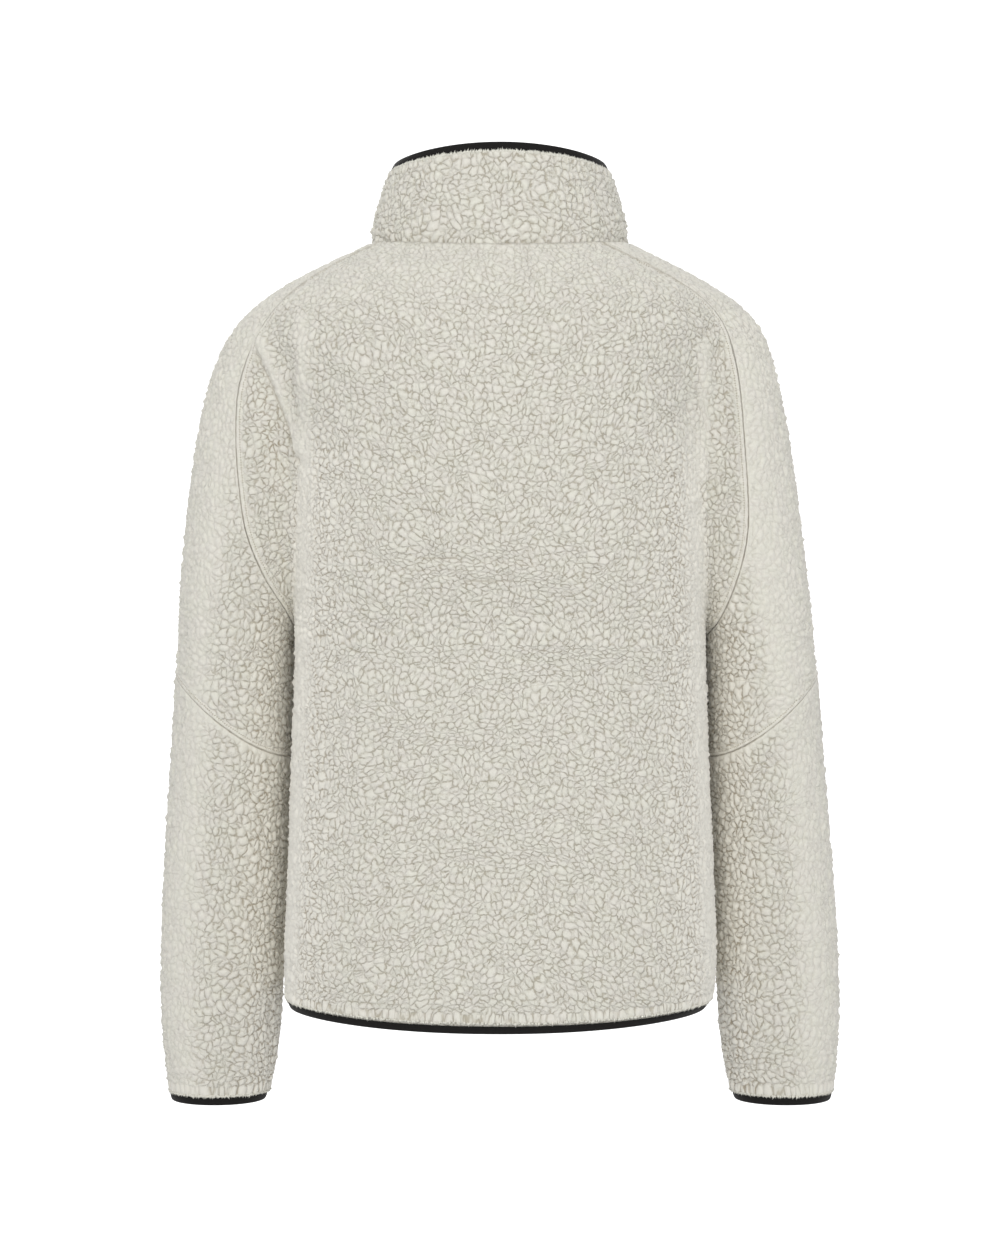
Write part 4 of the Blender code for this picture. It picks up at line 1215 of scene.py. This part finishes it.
fleece = {name: refined(name, cover) for name, cover in COVERS.items()}
edges_of = {name: edge_points(made) for name, made in fleece.items()}
for name, made in fleece.items():
    pile_shape(made, name)
    mesh = made.data
    mesh.materials.clear()
    mesh.materials.append(PILE)
    mesh.materials.append(INSIDE)
    skin = stored_values(mesh, "skin", np.int32)
    mesh.polygons.foreach_set("material_index", (skin == INNER_SKIN).astype(np.int32))
    mesh.polygons.foreach_set("use_smooth", np.ones(len(skin), bool))
    carry(made, name)
    print("pile on", name, len(mesh.polygons), "faces")


# %% [markdown]
# ## Tufts over the bindings
#
# Where the pile comes out of a binding, pointed ends of the curls lie over the black elastic and make its
# edge ragged. Hair curves would be easier to place, but they aren't a mesh. Each tuft is a small bent cone,
# laid on the cloth in its own direction. bmesh.ops.create_cone makes straight ones only, so the few faces
# of each are set here.

# %% Tufts
TUFT_SIDES = 6
TUFT_LEAN = 0.6  # how far they point aside
TUFT_LIFT = (-0.05, 0.25)
TUFT_RADIUS = (0.0008, 0.0013)
TUFT_SUNK = 0.0003
TIP_BEND = (-0.0006, 0.0002)


def add_tuft(mesh, place, normal, down, length):
    """One pointed tuft. A quarter of it lies behind its place, hidden in the pile."""
    sideways = Vector(normal).cross(Vector(down)) * rng.uniform(-TUFT_LEAN, TUFT_LEAN)
    point = (Vector(down) + sideways + Vector(normal) * rng.uniform(*TUFT_LIFT)).normalized()
    foot = Vector(place) - Vector(normal) * TUFT_SUNK - point * length * 0.25
    across = point.orthogonal().normalized() * rng.uniform(*TUFT_RADIUS)
    beside = point.cross(across)
    turns = np.arange(TUFT_SIDES) * 2 * math.pi / TUFT_SIDES
    ring = [mesh.verts.new(foot + across * math.cos(turn) + beside * math.sin(turn)) for turn in turns]
    tip = mesh.verts.new(foot + point * length + Vector(normal) * rng.uniform(*TIP_BEND))
    mesh.faces.new(ring[::-1])
    for i in range(TUFT_SIDES):
        mesh.faces.new((ring[i - 1], ring[i], tip))


mesh = bmesh.new()
for tuft in TUFTS:
    add_tuft(mesh, *tuft)
bmesh.ops.recalc_face_normals(mesh, faces=mesh.faces)
print("tufts", len(TUFTS), "faces", len(mesh.faces))
tufts = new_object("tufts", mesh, TUFT)
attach(tufts, BODY)

# %% [markdown]
# ## Bindings and zip tapes
#
# Elastic folded over an edge keeps an even width and a rounded back. The solids have that shape already, so
# these pieces are copies of them, smoothed with a Subdivision Surface, in black knit.

# %% Bindings and tapes
FLAT_ANGLE = math.radians(40)  # triangles that meet at less than this are one face


def smooth_copy(node, material, levels):
    """A node's smoothed copy in the given material."""
    mesh = bmesh.new()
    mesh.from_mesh(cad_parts[node].data)
    bmesh.ops.remove_doubles(mesh, verts=mesh.verts, dist=SAME_PLACE)
    bmesh.ops.join_triangles(
        mesh, faces=mesh.faces, angle_face_threshold=FLAT_ANGLE, angle_shape_threshold=math.pi
    )
    made = new_object("cloth_" + node, mesh, material)
    subdivide(made, levels)
    carry(made, node)
    return made


bound = {
    node: smooth_copy(node, KNIT, 2)
    for node in ("collar_binding", "hem_binding", "cuff_binding_left", "cuff_binding_right")
}
tapes = {node: smooth_copy(node, TAPE, 1) for node in ("zip_tape_left", "zip_tape_right")}
print("bindings and tapes", {node: len(made.data.polygons) for node, made in (bound | tapes).items()})

# %% [markdown]
# ## Stitches
#
# Beside each raglan and elbow seam a second row of stitches holds down the seam allowance. A curve with a
# round bevel would give one long thread, but a sewn row shows single stitches. Each is a short plump bar,
# made from a small sphere drawn long, and lies on the finished surface.

# %% Stitches
LOOK_AHEAD = 3  # a line's direction is taken over this many steps each way
STITCH_RAISED = 0.4  # the share of the radius by which a stitch's middle stands off the cloth
STITCH_FACES = 20
STITCH_LENGTH = 0.0014
STITCH_RADIUS = 0.00030
Row = namedtuple("Row", "piece kind inset")
ROWS = [
    Row("back", "raglan", PIN_ROWS["body", "raglan"]),
    Row("front_left", "raglan", PIN_ROWS["body", "raglan"]),
    Row("front_right", "raglan", PIN_ROWS["body", "raglan"]),
    Row("sleeve_upper_left", "elbow", PIN_ROWS["upper", "elbow"]),
    Row("sleeve_upper_right", "elbow", PIN_ROWS["upper", "elbow"]),
]


def resampled(line, spacing):
    """Places at even steps along a line, and the line's direction at each."""
    along = lengths_along(line)
    stops = np.arange(spacing / 2, along[-1], spacing)

    def places_at(stops):
        return np.stack([np.interp(stops, along, axis) for axis in line.T], axis=1)

    reach = LOOK_AHEAD * spacing
    runs = places_at(stops + reach) - places_at(stops - reach)
    return places_at(stops), runs / np.linalg.norm(runs, axis=1, keepdims=True)


def add_stitches(mesh, surface, line, inset):
    """One stitch at each step beside the line, on the side where the piece's surface is."""
    places, runs = resampled(line, STITCH_STEP)
    for place, run in zip(places, runs):
        _, normal, _, _ = surface.find_nearest(Vector(place))
        run = Vector(run)
        aside = normal.cross(run).normalized() * inset
        options = [surface.find_nearest(Vector(place) + side) + (side,) for side in (aside, -aside)]
        spot, normal, _, _, _ = min(options, key=lambda found: (found[0] - Vector(place) - found[4]).length)
        run = (run - normal * run.dot(normal)).normalized()
        turn = Matrix((run, normal.cross(run), normal)).transposed().to_4x4()
        size = Matrix.Diagonal((STITCH_LENGTH / 2, STITCH_RADIUS, STITCH_RADIUS, 1))
        matrix = Matrix.Translation(spot + normal * STITCH_RADIUS * STITCH_RAISED) @ turn @ size
        bmesh.ops.create_icosphere(mesh, subdivisions=1, radius=1, matrix=matrix)


for kind in ("raglan", "elbow"):
    mesh = bmesh.new()
    for row in ROWS:
        if row.kind == kind:
            surface = BVHTree.FromObject(fleece[row.piece], bpy.context.evaluated_depsgraph_get())
            _, middle, kinds = seams_of(row.piece)
            for walk in seam_walks(row.piece, kinds):
                if kinds[walk[0]] == kind:
                    add_stitches(mesh, surface, middle[walk], row.inset)
    print("stitches", kind, len(mesh.faces) // STITCH_FACES)
    stitches = new_object("stitches_" + kind, mesh, STITCH)
    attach(stitches, BODY)


# %% [markdown]
# ## Zip teeth
#
# Moulded teeth sit on both tapes in turn and lock between each other. They stand on the line that the
# solid strip of teeth follows, so that the strip is replaced tooth by tooth. An Array modifier along a curve
# would bend the teeth with it. Small cubes, each turned to the line and narrowed at its tip, stay straight.

# %% Zip teeth
TOOTH_PITCH = 0.0026
TOOTH_SIZE = (0.0046, 0.0024, 0.0019)
TOOTH_ASIDE = 0.0010
TOOTH_TAPER = 0.35
TOOTH_BEVEL = 0.00025
BEVELLED_FACES = 26
RING = 4  # corners of the solid strip at each level


def strip_line():
    """The middle of each ring of corners of the solid strip, from bottom to top."""
    corners = np.array([vert.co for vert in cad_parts["zip_teeth"].data.vertices])
    corners = np.unique(corners.round(5), axis=0)
    rings = corners[np.argsort(corners[:, 2])].reshape(-1, RING, 3)
    return rings.mean(axis=1)


def add_teeth(mesh, line):
    """Teeth at even steps along the line, on its left and its right in turn."""
    places, runs = resampled(line, TOOTH_PITCH / 2)
    for i, (place, run) in enumerate(zip(places, runs)):
        run, across = Vector(run), Vector((1, 0, 0))
        out = across.cross(run).normalized()
        side = 1 if i % 2 else -1
        turn = Matrix((across, out, run)).transposed().to_4x4()
        size = Matrix.Diagonal((*TOOTH_SIZE, 1))
        spot = Matrix.Translation(Vector(place) + across * side * TOOTH_ASIDE)
        made = bmesh.ops.create_cube(mesh, size=1, matrix=spot @ turn @ size)
        tips = [vert for vert in made["verts"] if (vert.co - Vector(place)).dot(across) * side < 0]
        for vert in tips:
            vert.co -= run * (vert.co - Vector(place)).dot(run) * TOOTH_TAPER


mesh = bmesh.new()
add_teeth(mesh, strip_line())
bmesh.ops.bevel(
    mesh, geom=mesh.edges[:], offset=TOOTH_BEVEL, segments=1, profile=0.5, affect="EDGES", material=-1
)
bmesh.ops.recalc_face_normals(mesh, faces=mesh.faces)
print("zip teeth", len(mesh.faces) // BEVELLED_FACES)
teeth = new_object("teeth", mesh, TEETH, smooth=False)
carry(teeth, "zip_teeth")
for node in ("zip_slider", "zip_pull"):
    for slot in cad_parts[node].material_slots:
        slot.material = METAL

# %% [markdown]
# ## Stage
#
# A plane and a wall would show a line where they meet. A profile of floor, bend and wall, spun round the
# middle, has none from any side. It shines a little, so that it shows white. It is hidden from the rays that
# light the jacket, because a white wall all round would wash out the cracks between nubs. A soft world and
# five large lights stand round the jacket, so that its edges are as light as its middle.

# %% Stage
FLOOR_LEVEL = -1.4
SWEEP_OUT = 4.5
BEND = 1.5
BEND_POINTS = 12
SWEEP_TOP = 8.0
SWEEP_STEPS = 48
SWEEP_GLOW = 0.85
WORLD_LIGHT = 0.65
WHITE = colour(1, 1, 1)
JACKET_MIDDLE = (0, 0, CAMERA_LEVEL)


def add_stage():
    """A white sweep all round: a floor that curves up into a wall."""
    mesh = bmesh.new()
    turn = np.linspace(0, math.pi / 2, BEND_POINTS)
    profile = [(0.0, FLOOR_LEVEL)]
    profile += [(SWEEP_OUT + BEND * math.sin(a), FLOOR_LEVEL + BEND * (1 - math.cos(a))) for a in turn]
    profile.append((SWEEP_OUT + BEND, SWEEP_TOP))
    corners = [mesh.verts.new((reach, 0, level)) for reach, level in profile]
    edges = [mesh.edges.new(pair) for pair in zip(corners[:-1], corners[1:])]
    bmesh.ops.spin(
        mesh,
        geom=corners + edges,
        cent=(0, 0, 0),
        axis=(0, 0, 1),
        angle=2 * math.pi,
        steps=SWEEP_STEPS,
        use_merge=True,
    )
    bmesh.ops.remove_doubles(mesh, verts=mesh.verts, dist=1e-4)
    bmesh.ops.recalc_face_normals(mesh, faces=mesh.faces)
    bmesh.ops.reverse_faces(mesh, faces=mesh.faces)
    made, tree, shader = new_material("stage_white")
    set_inputs(tree, shader, {"Base Color": colour(0.85, 0.85, 0.85), "Roughness": 0.9})
    set_inputs(tree, shader, {"Emission Color": WHITE, "Emission Strength": SWEEP_GLOW})
    stage = new_object("stage", mesh, made)
    stage.visible_diffuse = stage.visible_glossy = stage.visible_shadow = False


def add_light(name, place, size, power):
    """A soft rectangular light that faces the jacket's middle."""
    data = bpy.data.lights.new(name, "AREA")
    data.shape = "RECTANGLE"
    data.size, data.size_y = size
    data.energy = power
    made = add_object(name, data)
    made.location = place
    made.rotation_euler = (Vector(JACKET_MIDDLE) - Vector(place)).to_track_quat("-Z", "Y").to_euler()


add_stage()
world = bpy.data.worlds.new("studio")
world.use_nodes = True
glow = {"Color": WHITE, "Strength": WORLD_LIGHT}
set_inputs(world.node_tree, world.node_tree.nodes["Background"], glow)
bpy.context.scene.world = world
bpy.context.scene.view_settings.view_transform = "Standard"
add_light("above", (0.3, 1.6, 2.2), (2.5, 1.5), 5)
add_light("behind", (0.0, 3.2, 0.4), (2.4, 1.4), 40)
add_light("left", (2.6, 1.2, 0.2), (1.5, 2.2), 3)
add_light("right", (-2.6, 1.2, 0.2), (1.5, 2.2), 3)
add_light("front", (0.2, -2.6, 0.9), (2.4, 1.8), 40)

# %% [markdown]
# ## Cloth sizes
#
# A Cut holds a piece of cloth and the size it was cut to, in metres and square metres: width, length and
# area.
# For fleece it is what the outer skin comes to when it is laid flat. A binding's is its length by its two
# legs and its fold.

Cut = namedtuple("Cut", "piece width length area")
